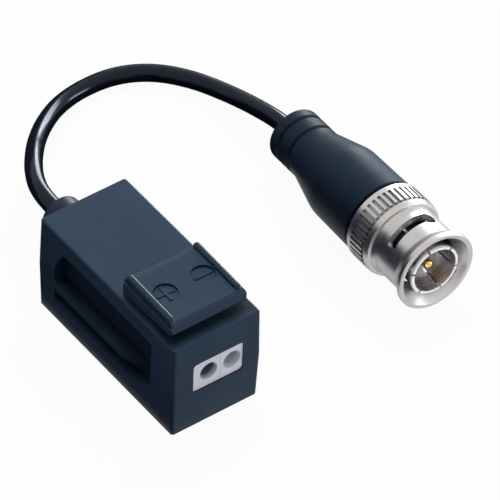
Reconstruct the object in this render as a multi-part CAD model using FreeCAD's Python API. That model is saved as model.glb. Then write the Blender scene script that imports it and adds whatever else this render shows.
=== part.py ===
# Passive video balun: a moulded housing with a two-way push terminal and press lever at its front,
# and a short lead at its back that ends in a bayonet coaxial plug.
# Millimetres. X across the housing, -Y its terminal face, +Y its lead end, Z up. The origin is the
# centre of the housing's base.
import FreeCAD
import Part
import math
import os
from FreeCAD import Vector

# Clearances
RUNNING = 0.10
SLIDING = 0.15
LOOSE = 0.30
SEATED = 0.05

# Housing
HOUSING_WIDTH = 16.6
HOUSING_LENGTH = 35.9
HOUSING_HEIGHT = 18.3
PARTING_Z = 9.0
WALL = 1.3
SIDE_DRAFT_TOP = 0.2
SIDE_DRAFT_BASE = 0.2
END_DRAFT_TOP = 0.1
END_DRAFT_BASE = 0.25
CORNER_R = 0.55
TOP_EDGE_R = 0.35
BASE_EDGE_R = 0.25

# Grooves in both sides, each with a grip rail left standing in it
GROOVE_DEPTH = 2.0
GROOVE_WALL = 0.9
GROOVE_FRONT_SETBACK = 5.95
GROOVE_BACK_SETBACK = 4.35
GROOVE_BASE_Z = 4.2
GROOVE_TOP_DROP = 1.7
GROOVE_BLEND_R = 4.0
GROOVE_CORNERS = (0.6, 7.0, 3.0, 4.0)
RAIL_Z = 6.3
RAIL_HEIGHT = 2.1
RAIL_RAMP_SETBACK = 13.45
RAIL_RAMP_LENGTH = 5.0

# Terminal window
WINDOW_SIDE_GAP = 0.35
WINDOW_WIDTH = 9.55
WINDOW_BASE_Z = 7.5
WINDOW_TOP_Z = 13.4
WINDOW_CORNER_R = 0.7

# Circuit board on its posts
BOARD_BASE_Z = 4.2
BOARD_THICKNESS = 1.0
BOARD_SIDE_GAP = 0.4
BOARD_FRONT_GAP = 1.25
BOARD_BACK_GAP = 2.45
BOARD_POST_R = 1.0
BOARD_POST_INSET = 1.3

# Locating pegs between the two shells
PEG_R = 0.5
PEG_BOSS_R = 0.85
PEG_DEPTH = 1.8
PEG_FRONT_INSET = 2.2
PEG_BACK_INSET = 2.7

# Terminal block
BLOCK_SIDE_GAP = 0.2
BLOCK_BACK_SETBACK = 10.75
BLOCK_HEADROOM = 1.4
NOSE_RECESS = 0.3
POLE_SIDE_GAP = 2.4
POLE_PITCH = 4.4
WIRE_Z = 10.5
FUNNEL_R = 1.65
FUNNEL_DEPTH = 2.0
WIRE_BORE_R = 0.95
WIRE_BORE_LENGTH = 1.2
CELL_WIDTH = 3.5
CELL_BASE_Z = 6.1
CELL_ROOF_Z = 12.25

# Clamp springs and contact bars
SPRING_THICKNESS = 0.3
SPRING_WIDTH = 3.0
SPRING_BEND_R = 1.0
SPRING_BACK_INSET = 0.5
SPRING_FRONT_GAP = 0.2
SPRING_BEND_HEIGHT = 2.8
SPRING_ARM_LENGTH = 5.1
SPRING_TIP_GAP = 0.45
BAR_THICKNESS = 0.4
BAR_WIDTH = 1.6
BAR_SETBACK = 1.95
BAR_TAIL_LENGTH = 0.7

# Plungers
PLUNGER_SETBACK = 6.95
PLUNGER_WIDTH = 3.1
PLUNGER_DEPTH = 1.9
PLUNGER_CROWN_R = 0.6
COLLAR_WIDTH = 4.0
COLLAR_DEPTH = 2.7
COLLAR_HEIGHT = 0.75

# Press lever
LEVER_SIDE_INSET = 1.0
LEVER_SETBACK = 2.1
LEVER_LENGTH = 13.1
LEVER_FRONT_GAP = 1.2
LEVER_BACK_GAP = 0.3
LEVER_FRONT_HEIGHT = 3.0
LEVER_BACK_HEIGHT = 3.35
LEVER_NOSE_SLANT = 0.95
LEVER_BACK_BEVEL = 1.3
LEVER_BACK_BEVEL_DROP = 0.3
LEVER_SKIN = 0.9
LEVER_RIM = 1.3
LEVER_CORNER_R = 1.1
BEAD_WIDTH = 1.05
BEAD_HEIGHT = 0.6
BEAD_INSET = 0.5
BEAD_FRONT_GAP = 0.2
BEAD_BACK_GAP = 0.25
LEDGE_DROP = 0.7
DIMPLE_R = 2.0
DIMPLE_X = 3.54
DIMPLE_SETBACK = 6.85
DIMPLE_DEPTH = 0.3
PIVOT_SETBACK = 13.05
PIVOT_DROP = 2.4
PIVOT_R = 0.9
PIVOT_LENGTH = 1.1
PIVOT_BORE_DEPTH = 1.0
EAR_THICKNESS = 1.4
EAR_LENGTH = 2.4
HEEL_LENGTH = 0.7

# Balun core and its turns
CORE_R = 4.1
CORE_BORE_R = 2.1
CORE_HEIGHT = 3.2
CORE_GAP_SHARE = 0.5
TURN_COUNT = 14
TURN_WIRE = 0.3

# Surge arrester
ARRESTER_R = 2.3
ARRESTER_LENGTH = 5.6
ARRESTER_BAND = 1.0
ARRESTER_WAIST_R = 2.1
ARRESTER_GAP_SHARE = 0.28
PIN_R = 0.25
PIN_REACH = 0.9
PIN_TAIL = 0.6
PIN_HOLE_R = 0.4

# Chip parts
CHIP_LENGTH = 2.0
CHIP_WIDTH = 1.25
CHIP_HEIGHT = 0.6
CHIP_INSET = 0.9
CAPACITOR_LEAD = 2.7
RESISTOR_LAG = 3.1

# Lead and the gland it leaves by
LEAD_R = 1.5
GLAND_RISE = 1.0
GLAND_R = 3.6
GLAND_END_R = 3.45
GLAND_LENGTH = 6.4
GLAND_EDGE_R = 0.9
GLAND_NECK_R = 2.3
GLAND_FLANGE_R = 3.4
GLAND_FLANGE = 1.2
CORE_WIRE_R = 0.5
BRAID_R = 0.6
TAIL_SPACING = 1.5
TAIL_DROP_INSET = 1.6
TAIL_BEND_R = 1.6

# Plug, measured along its axis from the coupling sleeve's back edge, mouth forward
PLUG_X = 42.82
PLUG_Y = -3.87
PLUG_YAW = -2.14
SLEEVE_LENGTH = 14.4
RING_R = 7.2
RING_LENGTH = 5.65
RING_EDGE = 0.25
KNURL_START = 1.1
KNURL_LENGTH = 3.0
KNURL_COUNT = 44
KNURL_WIDTH = 0.56
KNURL_DEPTH = 0.4
RELIEF_WIDTH = 0.35
RELIEF_DEPTH = 0.35
WAIST_R = 6.15
SHOULDER_BLEND = 0.75
LIP_R = 7.1
LIP_WIDTH = 0.75
LIP_FLARE = 1.5
LIP_FLARE_R = 1.5
MOUTH_R = 6.3
MOUTH_DEPTH = 2.1
SLEEVE_BORE_R = 4.95
SLEEVE_LIP = 0.9
RING_SEAT_DEPTH = 0.75

# Helical slots of the sleeve, for the studs of the socket
SLOT_WIDTH = 1.9
SLOT_ENTRY_ANGLE = 137.5
SLOT_SWEEP = 70.5
SLOT_ENTRY_T = 8.85
SLOT_RISE = 0.55
SLOT_END_R = 1.25
ENTRY_WIDTH = 2.4
ENTRY_R = 5.6

# Plug body and what it carries
BARREL_R = 4.0
BARREL_BACK = -5.0
FLANGE_LENGTH = 1.65
SPIGOT_R = 1.9
SPIGOT_BORE_R = 0.95
SPIGOT_LENGTH = 8.0
BODY_BORE_R = 3.0
RETAINER_THICKNESS = 0.5
RETAINER_R = 4.75
RETAINER_SEAT_R = 3.7
RETAINER_GAP_ANGLE = 40.0
WASHER_THICKNESS = 0.3
WASHER_R = 4.8
WAVE_THICKNESS = 0.2
WAVE_HEIGHT = 0.8
WAVE_COUNT = 3
GASKET_LENGTH = 1.5
CONTACT_R = 4.15
CONTACT_TIP_R = 4.5
CONTACT_WALL = 0.45
CONTACT_TIP_T = 14.05
CONTACT_FLARE = 3.0
CONTACT_SEAT = 1.0
SLIT_COUNT = 6
SLIT_WIDTH = 0.35
SLIT_ANGLE = 46.0
SLIT_START_T = 7.0
INSULATOR_FACE_T = 5.4
INSULATOR_BACK_T = -4.2
CENTRE_PIN_R = 0.675
CENTRE_PIN_TIP_T = 12.8
CENTRE_PIN_POT_R = 0.9
CENTRE_PIN_POT = 2.5
FERRULE_R = 2.7
FERRULE_WALL = 0.4
FERRULE_LENGTH = 7.4

# Moulded boot
BOOT_GAP = 0.55
BOOT_FRONT_R = 6.9
BOOT_BARREL_R = 6.72
BOOT_BARREL_BACK_T = -10.95
BOOT_SHOULDER_R = 8.0
BOOT_NECK_T = -18.3
BOOT_NECK_BLEND_R = 4.0
BOOT_TAIL_R = 4.75
BOOT_TAIL_T = -25.4
BOOT_TAIL_EDGE_R = 0.9
BOOT_GROOVES = (-19.8, -22.8)
BOOT_GROOVE_WIDTH = 0.9
BOOT_GROOVE_DEPTH = 0.35

# Route of the lead between its straight exits from the gland and from the boot's tail
LEAD_EXIT = 3.0
LEAD_ROUTE = [
    (0.7, 31.2, 9.8),
    (2.8, 35.2, 9.1),
    (5.7, 39.2, 7.7),
    (9.1, 43.3, 5.7),
    (13.3, 47.4, 3.8),
    (18.5, 51.0, 2.35),
    (24.6, 52.8, 1.6),
    (31.1, 52.4, 1.55),
    (36.6, 49.5, 1.6),
    (40.5, 44.2, 2.0),
    (42.7, 37.8, 2.8),
    (43.6, 31.3, 4.3),
]

# Places worked out from the sizes
FRONT = -HOUSING_LENGTH / 2
BACK = HOUSING_LENGTH / 2
SIDE = HOUSING_WIDTH / 2
GROOVE_FRONT = FRONT + GROOVE_FRONT_SETBACK
GROOVE_BACK = BACK - GROOVE_BACK_SETBACK
GROOVE_TOP_Z = HOUSING_HEIGHT - GROOVE_TOP_DROP
RAIL_RAMP_START = FRONT + RAIL_RAMP_SETBACK
GROOVE_FLOOR = SIDE - GROOVE_DEPTH
CHEEK = GROOVE_FLOOR - GROOVE_WALL
CEILING_Z = HOUSING_HEIGHT - WALL
WINDOW_RIGHT = CHEEK - WINDOW_SIDE_GAP
WINDOW_LEFT = WINDOW_RIGHT - WINDOW_WIDTH
POLE_X = (CHEEK - POLE_SIDE_GAP - POLE_PITCH, CHEEK - POLE_SIDE_GAP)
BLOCK_WIDTH = 2 * (CHEEK - BLOCK_SIDE_GAP)
BOARD_WIDTH = 2 * (CHEEK - BOARD_SIDE_GAP)
CHIP_X = BOARD_WIDTH / 2 - CHIP_INSET
LEVER_WIDTH = HOUSING_WIDTH - 2 * LEVER_SIDE_INSET
BOARD_TOP_Z = BOARD_BASE_Z + BOARD_THICKNESS
BOARD_FRONT = FRONT + WALL + BOARD_FRONT_GAP
BOARD_BACK = BACK - WALL - BOARD_BACK_GAP
BLOCK_BACK = FRONT + BLOCK_BACK_SETBACK
BLOCK_TOP_Z = CEILING_Z - BLOCK_HEADROOM
NOSE_FACE = FRONT + NOSE_RECESS
BORE_FRONT = NOSE_FACE + FUNNEL_DEPTH
CELL_FRONT = BORE_FRONT + WIRE_BORE_LENGTH
SPRING_FRONT = CELL_FRONT + SPRING_FRONT_GAP + SPRING_THICKNESS / 2
BAR_FRONT = CELL_FRONT + BAR_SETBACK
BAR_TAIL_Y = BLOCK_BACK + LOOSE + BAR_THICKNESS / 2
PLUNGER_Y = FRONT + PLUNGER_SETBACK
PIVOT_Y = FRONT + PIVOT_SETBACK
PIVOT_Z = HOUSING_HEIGHT - PIVOT_DROP
LEVER_FRONT = FRONT + LEVER_SETBACK
LEVER_BACK = LEVER_FRONT + LEVER_LENGTH
LEVER_TOP_FRONT_Z = HOUSING_HEIGHT + LEVER_FRONT_HEIGHT
LEVER_TOP_BACK_Z = HOUSING_HEIGHT + LEVER_BACK_HEIGHT
DIMPLE_Y = LEVER_FRONT + DIMPLE_SETBACK
TAIL_DROP_Y = BOARD_BACK - TAIL_DROP_INSET
BAY_FRONT = BAR_TAIL_Y + BAR_THICKNESS / 2
BAY_BACK = TAIL_DROP_Y - BRAID_R
CORE_REACH = CORE_R + TURN_WIRE
BAY_SLACK = BAY_BACK - BAY_FRONT - 2 * CORE_REACH - 2 * ARRESTER_R
CORE_Y = BAY_FRONT + CORE_GAP_SHARE * BAY_SLACK + CORE_REACH
ARRESTER_Y = BAY_BACK - ARRESTER_GAP_SHARE * BAY_SLACK - ARRESTER_R
CAPACITOR_Y = ARRESTER_Y - CAPACITOR_LEAD
RESISTOR_Y = ARRESTER_Y + RESISTOR_LAG
EAR_OUTER = CHEEK - LOOSE
EAR_INNER = EAR_OUTER - EAR_THICKNESS
LEVER_RISE = (LEVER_FRONT_GAP - LEVER_BACK_GAP) / (LEVER_BACK - LEVER_FRONT)
GLAND_TIP = BACK + GLAND_LENGTH
GLAND_Z = PARTING_Z + GLAND_RISE
PLUG_PITCH = math.degrees(math.atan2(RING_R - BOOT_BARREL_R, -BOOT_BARREL_BACK_T))
SLEEVE_LIP_FRONT = RING_SEAT_DEPTH + SLEEVE_LIP
WASHER_T = SLEEVE_LIP_FRONT + RUNNING
WAVE_T = WASHER_T + WASHER_THICKNESS + SEATED
FLANGE_T = WAVE_T + WAVE_HEIGHT + SEATED
FLANGE_FRONT_T = FLANGE_T + FLANGE_LENGTH
FLANGE_R = SLEEVE_BORE_R - RUNNING
SPIGOT_BACK = BARREL_BACK - SPIGOT_LENGTH
BIG = 50.0


def xy(z):
    """Plane of a plan outline at a height."""
    return lambda u, v: Vector(u, v, z)


def xz(y):
    """Plane of a cross outline at a station along the housing."""
    return lambda u, v: Vector(u, y, v)


def yz(x):
    """Plane of a side outline."""
    return lambda u, v: Vector(x, u, v)


def smooth_edges(points, radii, closed):
    """Edges through 3-D points, each corner replaced by a tangent arc of its radius."""
    count = len(points)
    starts = list(points)
    ends = list(points)
    arcs = [None] * count
    for i in range(count):
        if radii[i] <= 0 or (not closed and i in (0, count - 1)):
            continue
        corner = points[i]
        back = (points[i - 1] - corner).normalize()
        ahead = (points[(i + 1) % count] - corner).normalize()
        half_turn = (math.pi - back.getAngle(ahead)) / 2
        reach = radii[i] * math.tan(half_turn)
        starts[i] = corner + back * reach
        ends[i] = corner + ahead * reach
        inward = (back + ahead).normalize()
        middle = corner + inward * (radii[i] / math.cos(half_turn) - radii[i])
        arcs[i] = Part.Arc(starts[i], middle, ends[i]).toShape()
    edges = []
    for i in range(count):
        if arcs[i]:
            edges.append(arcs[i])
        if i == count - 1 and not closed:
            break
        following = starts[(i + 1) % count]
        if ends[i].distanceToPoint(following) > 1e-6:
            edges.append(Part.LineSegment(ends[i], following).toShape())
    return edges


def outline(points, plane):
    """Closed wire of (u, v) or (u, v, corner radius) points in a plane."""
    corners = [plane(p[0], p[1]) for p in points]
    radii = [p[2] if len(p) > 2 else 0 for p in points]
    return Part.Wire(smooth_edges(corners, radii, True))


def prism(points, plane, along):
    """Outline pushed along a vector."""
    return Part.Face(outline(points, plane)).extrude(along)


def turned(points):
    """Outline of (radius, height) points turned about Z."""
    return Part.Face(outline(points, xz(0))).revolve(Vector(0, 0, 0), Vector(0, 0, 1), 360)


def box(x0, x1, y0, y1, z0, z1):
    """Box between two corners."""
    return Part.makeBox(x1 - x0, y1 - y0, z1 - z0, Vector(x0, y0, z0))


def rod(radius, start, end):
    """Cylinder between two points."""
    run = end - start
    return Part.makeCylinder(radius, run.Length, start, run)


def tube(radius, points, radii):
    """Round section carried along straight runs and tangent arcs."""
    path = Part.Wire(smooth_edges(points, radii, False))
    section = Part.Wire(Part.Circle(points[0], points[1] - points[0], radius).toShape())
    return path.makePipeShell([section], True, False)


def strip(points, thickness, centre_x, width):
    """Bent strip: a side path of (y, z, bend radius) given a thickness and a width across X."""
    outer = []
    inner = []
    for i, (y, z, radius) in enumerate(points):
        here = Vector(0, y, z)
        back = (here - Vector(0, *points[i - 1][:2])).normalize() if i else None
        ahead = (Vector(0, *points[i + 1][:2]) - here).normalize() if i < len(points) - 1 else None
        direction = ((back or ahead) + (ahead or back)).normalize()
        normal = Vector(0, -direction.z, direction.y)
        spread = thickness / 2 / (direction.dot(ahead or back))
        turn = back.cross(ahead).x if back and ahead else 0
        grow = math.copysign(thickness / 2, turn)
        left = here + normal * spread
        right = here - normal * spread
        outer.append((left.y, left.z, radius - grow if radius else 0))
        inner.append((right.y, right.z, radius + grow if radius else 0))
    return prism(outer + inner[::-1], yz(centre_x - width / 2), Vector(width, 0, 0))


def mirrored(shape):
    """Copy on the other side of the housing's middle plane."""
    return shape.mirror(Vector(0, 0, 0), Vector(1, 0, 0))


def both_sides(shape):
    """A shape and its mirror image."""
    return [shape, mirrored(shape)]


def drafted_block(side_low, end_low, z_low, side_high, end_high, z_high):
    """Block with sloping sides, from half widths and half lengths at two heights."""
    def ring(side, end, z):
        corners = [(-side, -end), (side, -end), (side, end), (-side, end)]
        return outline(corners, xy(z))
    return Part.makeLoft([ring(side_low, end_low, z_low), ring(side_high, end_high, z_high)], True, True)


def level_edges(shape, z):
    """Edges that lie at one height."""
    return [e for e in shape.Edges if all(abs(v.Z - z) < 1e-6 for v in e.Vertexes)]


def upright_edges(shape):
    """Edges that climb the height of a block."""
    return [e for e in shape.Edges if abs(e.Vertexes[0].Z - e.Vertexes[-1].Z) > 1]


def housing_block(upper, inset):
    """Upper or lower half of the housing's drafted form, inset by a wall."""
    side = SIDE - inset
    end = BACK - inset
    if upper:
        top = HOUSING_HEIGHT - inset
        return drafted_block(side, end, PARTING_Z, side - SIDE_DRAFT_TOP, end - END_DRAFT_TOP, top)
    return drafted_block(side - SIDE_DRAFT_BASE, end - END_DRAFT_BASE, inset, side, end, PARTING_Z)


def side_groove():
    """Cutter of the right-hand groove, with its soft upper blend and the grip rail kept out of it."""
    blend_angle = math.acos(1 - GROOVE_DEPTH / GROOVE_BLEND_R)
    half = blend_angle / 2

    def blend_point(angle):
        x = SIDE - GROOVE_BLEND_R * (1 - math.cos(angle))
        return Vector(x, GROOVE_FRONT, GROOVE_TOP_Z - GROOVE_BLEND_R * math.sin(angle))

    place = xz(GROOVE_FRONT)
    far = SIDE + 1
    corners = [blend_point(0), place(far, GROOVE_TOP_Z), place(far, GROOVE_BASE_Z)]
    corners += [place(GROOVE_FLOOR, GROOVE_BASE_Z), blend_point(blend_angle)]
    edges = [Part.LineSegment(a, b).toShape() for a, b in zip(corners, corners[1:])]
    edges.append(Part.Arc(corners[-1], blend_point(half), corners[0]).toShape())
    section = Part.Face(Part.Wire(edges))
    channel = section.extrude(Vector(0, GROOVE_BACK - GROOVE_FRONT, 0))
    base_back, top_back, top_front, base_front = GROOVE_CORNERS
    ends = [(GROOVE_BACK, GROOVE_BASE_Z, base_back), (GROOVE_BACK, GROOVE_TOP_Z + 0.4, top_back),
            (GROOVE_FRONT, GROOVE_TOP_Z + 0.4, top_front), (GROOVE_FRONT, GROOVE_BASE_Z, base_front)]
    channel = channel.common(prism(ends, yz(GROOVE_FLOOR - 1), Vector(BIG, 0, 0)))
    ramp_slope = RAIL_RAMP_LENGTH / GROOVE_DEPTH
    deep = GROOVE_FLOOR - 1
    ramp_end = RAIL_RAMP_START - RAIL_RAMP_LENGTH
    rail = [(deep, GROOVE_BACK + 1), (far + 1, GROOVE_BACK + 1), (far + 1, RAIL_RAMP_START + 2 * ramp_slope),
            (GROOVE_FLOOR, ramp_end), (deep, ramp_end)]
    return channel.cut(prism(rail, xy(RAIL_Z), Vector(0, 0, RAIL_HEIGHT)))


def groove_backing(z_low, z_high):
    """Thick inner wall behind the right-hand groove."""
    front = GROOVE_FRONT - GROOVE_WALL
    back = GROOVE_BACK + GROOVE_WALL
    return box(CHEEK, SIDE, front, back, z_low, z_high)


def window_outline(inset, corner_r):
    """Corners of the terminal window, inset by a clearance."""
    left = WINDOW_LEFT + inset
    right = WINDOW_RIGHT - inset
    low = WINDOW_BASE_Z + inset
    high = WINDOW_TOP_Z - inset
    return [(left, low, corner_r), (right, low, corner_r), (right, high, corner_r), (left, high, corner_r)]


def peg_places():
    """Centres of the locating pegs in the housing's inner corners."""
    front_y = FRONT + WALL + PEG_BOSS_R + LOOSE
    back_y = BACK - WALL - PEG_BOSS_R - LOOSE / 2
    places = [(SIDE - PEG_FRONT_INSET, front_y), (SIDE - PEG_BACK_INSET, back_y)]
    return [(sx * x, y) for x, y in places for sx in (-1, 1)]


def shared_cuts():
    """Window, gland hole and side grooves, which cross the parting plane."""
    window = prism(window_outline(0, WINDOW_CORNER_R), xz(FRONT - 1), Vector(0, WALL + 2, 0))
    hole_r = GLAND_NECK_R + SEATED
    hole = rod(hole_r, Vector(0, BACK - WALL - 1, GLAND_Z), Vector(0, BACK + 1, GLAND_Z))
    return [window, hole] + both_sides(side_groove())


def lower_shell():
    """Tray with the board's posts and the sockets of the locating pegs."""
    outer = housing_block(False, 0)
    outer = outer.makeFillet(CORNER_R, upright_edges(outer))
    outer = outer.makeFillet(BASE_EDGE_R, level_edges(outer, 0))
    hollow = housing_block(False, WALL)
    backing = groove_backing(GROOVE_BASE_Z - GROOVE_WALL, PARTING_Z)
    shell = outer.cut(hollow.cut(both_sides(backing)))
    post_x = BOARD_WIDTH / 2 - BOARD_POST_INSET
    posts = []
    for x in (-post_x, post_x):
        for y in (BOARD_FRONT + BOARD_POST_INSET, BOARD_BACK - BOARD_POST_INSET):
            posts.append(rod(BOARD_POST_R, Vector(x, y, WALL / 2), Vector(x, y, BOARD_BASE_Z)))
    sockets = []
    for x, y in peg_places():
        posts.append(rod(PEG_BOSS_R, Vector(x, y, WALL / 2), Vector(x, y, PARTING_Z)))
        bottom = PARTING_Z - PEG_DEPTH - LOOSE
        sockets.append(rod(PEG_R + SEATED, Vector(x, y, bottom), Vector(x, y, PARTING_Z + 1)))
    return shell.fuse(posts).cut(sockets + shared_cuts())


def upper_shell():
    """Cover with the plunger holes, the lever's slots and hinge bores, and the locating pegs."""
    outer = housing_block(True, 0)
    outer = outer.makeFillet(CORNER_R, upright_edges(outer))
    outer = outer.makeFillet(TOP_EDGE_R, level_edges(outer, HOUSING_HEIGHT))
    hollow = housing_block(True, WALL)
    backing = groove_backing(PARTING_Z, CEILING_Z)
    shell = outer.cut(hollow.cut(both_sides(backing)))
    pegs = []
    for x, y in peg_places():
        pegs.append(rod(PEG_BOSS_R, Vector(x, y, PARTING_Z), Vector(x, y, HOUSING_HEIGHT - WALL / 2)))
        pegs.append(rod(PEG_R, Vector(x, y, PARTING_Z - PEG_DEPTH), Vector(x, y, PARTING_Z + 1)))
    cuts = shared_cuts()
    for x in POLE_X:
        half_x = PLUNGER_WIDTH / 2 + SLIDING
        half_y = PLUNGER_DEPTH / 2 + SLIDING
        cuts.append(box(x - half_x, x + half_x, PLUNGER_Y - half_y, PLUNGER_Y + half_y, CEILING_Z - 1, BIG))
    swing = EAR_LENGTH / 2 + LOOSE * 1.5
    slot = box(EAR_INNER - LOOSE, CHEEK, PIVOT_Y - swing - HEEL_LENGTH, PIVOT_Y + swing, CEILING_Z - 1, BIG)
    bore_end = CHEEK + PIVOT_BORE_DEPTH
    bore = rod(PIVOT_R + SEATED, Vector(CHEEK - 1, PIVOT_Y, PIVOT_Z), Vector(bore_end, PIVOT_Y, PIVOT_Z))
    cuts += both_sides(slot) + both_sides(bore)
    return shell.fuse(pegs).cut(cuts)


def terminal_block():
    """Two-way block: a nose in the window, funnel wire entries, spring cells and plunger guides."""
    inner_front = FRONT + WALL + max(END_DRAFT_BASE, END_DRAFT_TOP) + SEATED
    block = box(-BLOCK_WIDTH / 2, BLOCK_WIDTH / 2, inner_front, BLOCK_BACK, BOARD_TOP_Z, BLOCK_TOP_Z)
    nose_length = inner_front - NOSE_FACE + WALL
    nose = prism(window_outline(SEATED, WINDOW_CORNER_R - SEATED), xz(NOSE_FACE), Vector(0, nose_length, 0))
    block = block.fuse(nose).removeSplitter()
    for x in POLE_X:
        funnel = Part.makeCone(FUNNEL_R, WIRE_BORE_R, FUNNEL_DEPTH, Vector(x, NOSE_FACE, WIRE_Z), Vector(0, 1, 0))
        bore = rod(WIRE_BORE_R, Vector(x, BORE_FRONT, WIRE_Z), Vector(x, CELL_FRONT + 1, WIRE_Z))
        half = CELL_WIDTH / 2
        cell = box(x - half, x + half, CELL_FRONT, BLOCK_BACK + 1, CELL_BASE_Z, CELL_ROOF_Z)
        half_x = PLUNGER_WIDTH / 2 + SLIDING
        half_y = PLUNGER_DEPTH / 2 + SLIDING
        guide = box(x - half_x, x + half_x, PLUNGER_Y - half_y, PLUNGER_Y + half_y, CELL_ROOF_Z - 1, BIG)
        block = block.cut([funnel, bore, cell, guide])
    return block


def spring_path():
    """Side path of a clamp spring: base arm, front bend, arm rising to the tip."""
    base_z = CELL_BASE_Z + SPRING_THICKNESS / 2
    tip_z = CELL_ROOF_Z - BAR_THICKNESS - SPRING_TIP_GAP
    return [(BLOCK_BACK - SPRING_BACK_INSET, base_z, 0), (SPRING_FRONT, base_z, SPRING_BEND_R),
            (SPRING_FRONT, CELL_BASE_Z + SPRING_BEND_HEIGHT, SPRING_BEND_R),
            (SPRING_FRONT + SPRING_ARM_LENGTH, tip_z, 0)]


def clamp_spring(x):
    """Leaf spring that presses a wire up against the contact bar."""
    return strip(spring_path(), SPRING_THICKNESS, x, SPRING_WIDTH)


def contact_bar(x):
    """Bar under the cell's roof, bent down behind the block into the board."""
    bar_z = CELL_ROOF_Z - BAR_THICKNESS / 2
    path = [(BAR_FRONT, bar_z, 0), (BAR_TAIL_Y, bar_z, BAR_THICKNESS),
            (BAR_TAIL_Y, BOARD_BASE_Z - BAR_TAIL_LENGTH, 0)]
    return strip(path, BAR_THICKNESS, x, BAR_WIDTH)


def lever_under_z(y):
    """Height of the lever's underside at a station."""
    return HOUSING_HEIGHT + LEVER_BACK_GAP + (LEVER_BACK - y) * LEVER_RISE


def lever_top_z(y):
    """Height of the lever's upper face at a station."""
    share = (y - LEVER_FRONT) / (LEVER_BACK - LEVER_FRONT)
    return LEVER_TOP_FRONT_Z + share * (LEVER_TOP_BACK_Z - LEVER_TOP_FRONT_Z)


def plunger(x):
    """Push button: crown under the lever, collar under the cover, forked foot on the spring."""
    half_y = PLUNGER_DEPTH / 2
    top_z = lever_under_z(PLUNGER_Y) - RUNNING
    arm = [Vector(0, y, z) for y, z, radius in spring_path()[2:]]
    slope = (arm[1].z - arm[0].z) / (arm[1].y - arm[0].y)
    lift = SPRING_THICKNESS / 2 * math.hypot(1, slope) + RUNNING

    def foot_z(y):
        return arm[0].z + (y - arm[0].y) * slope + lift

    back = PLUNGER_Y + half_y
    front = PLUNGER_Y - half_y
    side = [(front, foot_z(front)), (back, foot_z(back)), (back, top_z, PLUNGER_CROWN_R),
            (front, top_z, PLUNGER_CROWN_R)]
    stem = prism(side, yz(x - PLUNGER_WIDTH / 2), Vector(PLUNGER_WIDTH, 0, 0))
    collar_top = CEILING_Z - SEATED
    half_collar = COLLAR_DEPTH / 2
    collar = box(x - COLLAR_WIDTH / 2, x + COLLAR_WIDTH / 2, PLUNGER_Y - half_collar, PLUNGER_Y + half_collar,
                 collar_top - COLLAR_HEIGHT, collar_top)
    fork_half = BAR_WIDTH / 2 + SLIDING
    fork_top = CELL_ROOF_Z + 0.75
    fork = box(x - fork_half, x + fork_half, PLUNGER_Y - half_y - 1, PLUNGER_Y + half_y + 1, 0, fork_top)
    return stem.fuse(collar).cut(fork)


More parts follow.
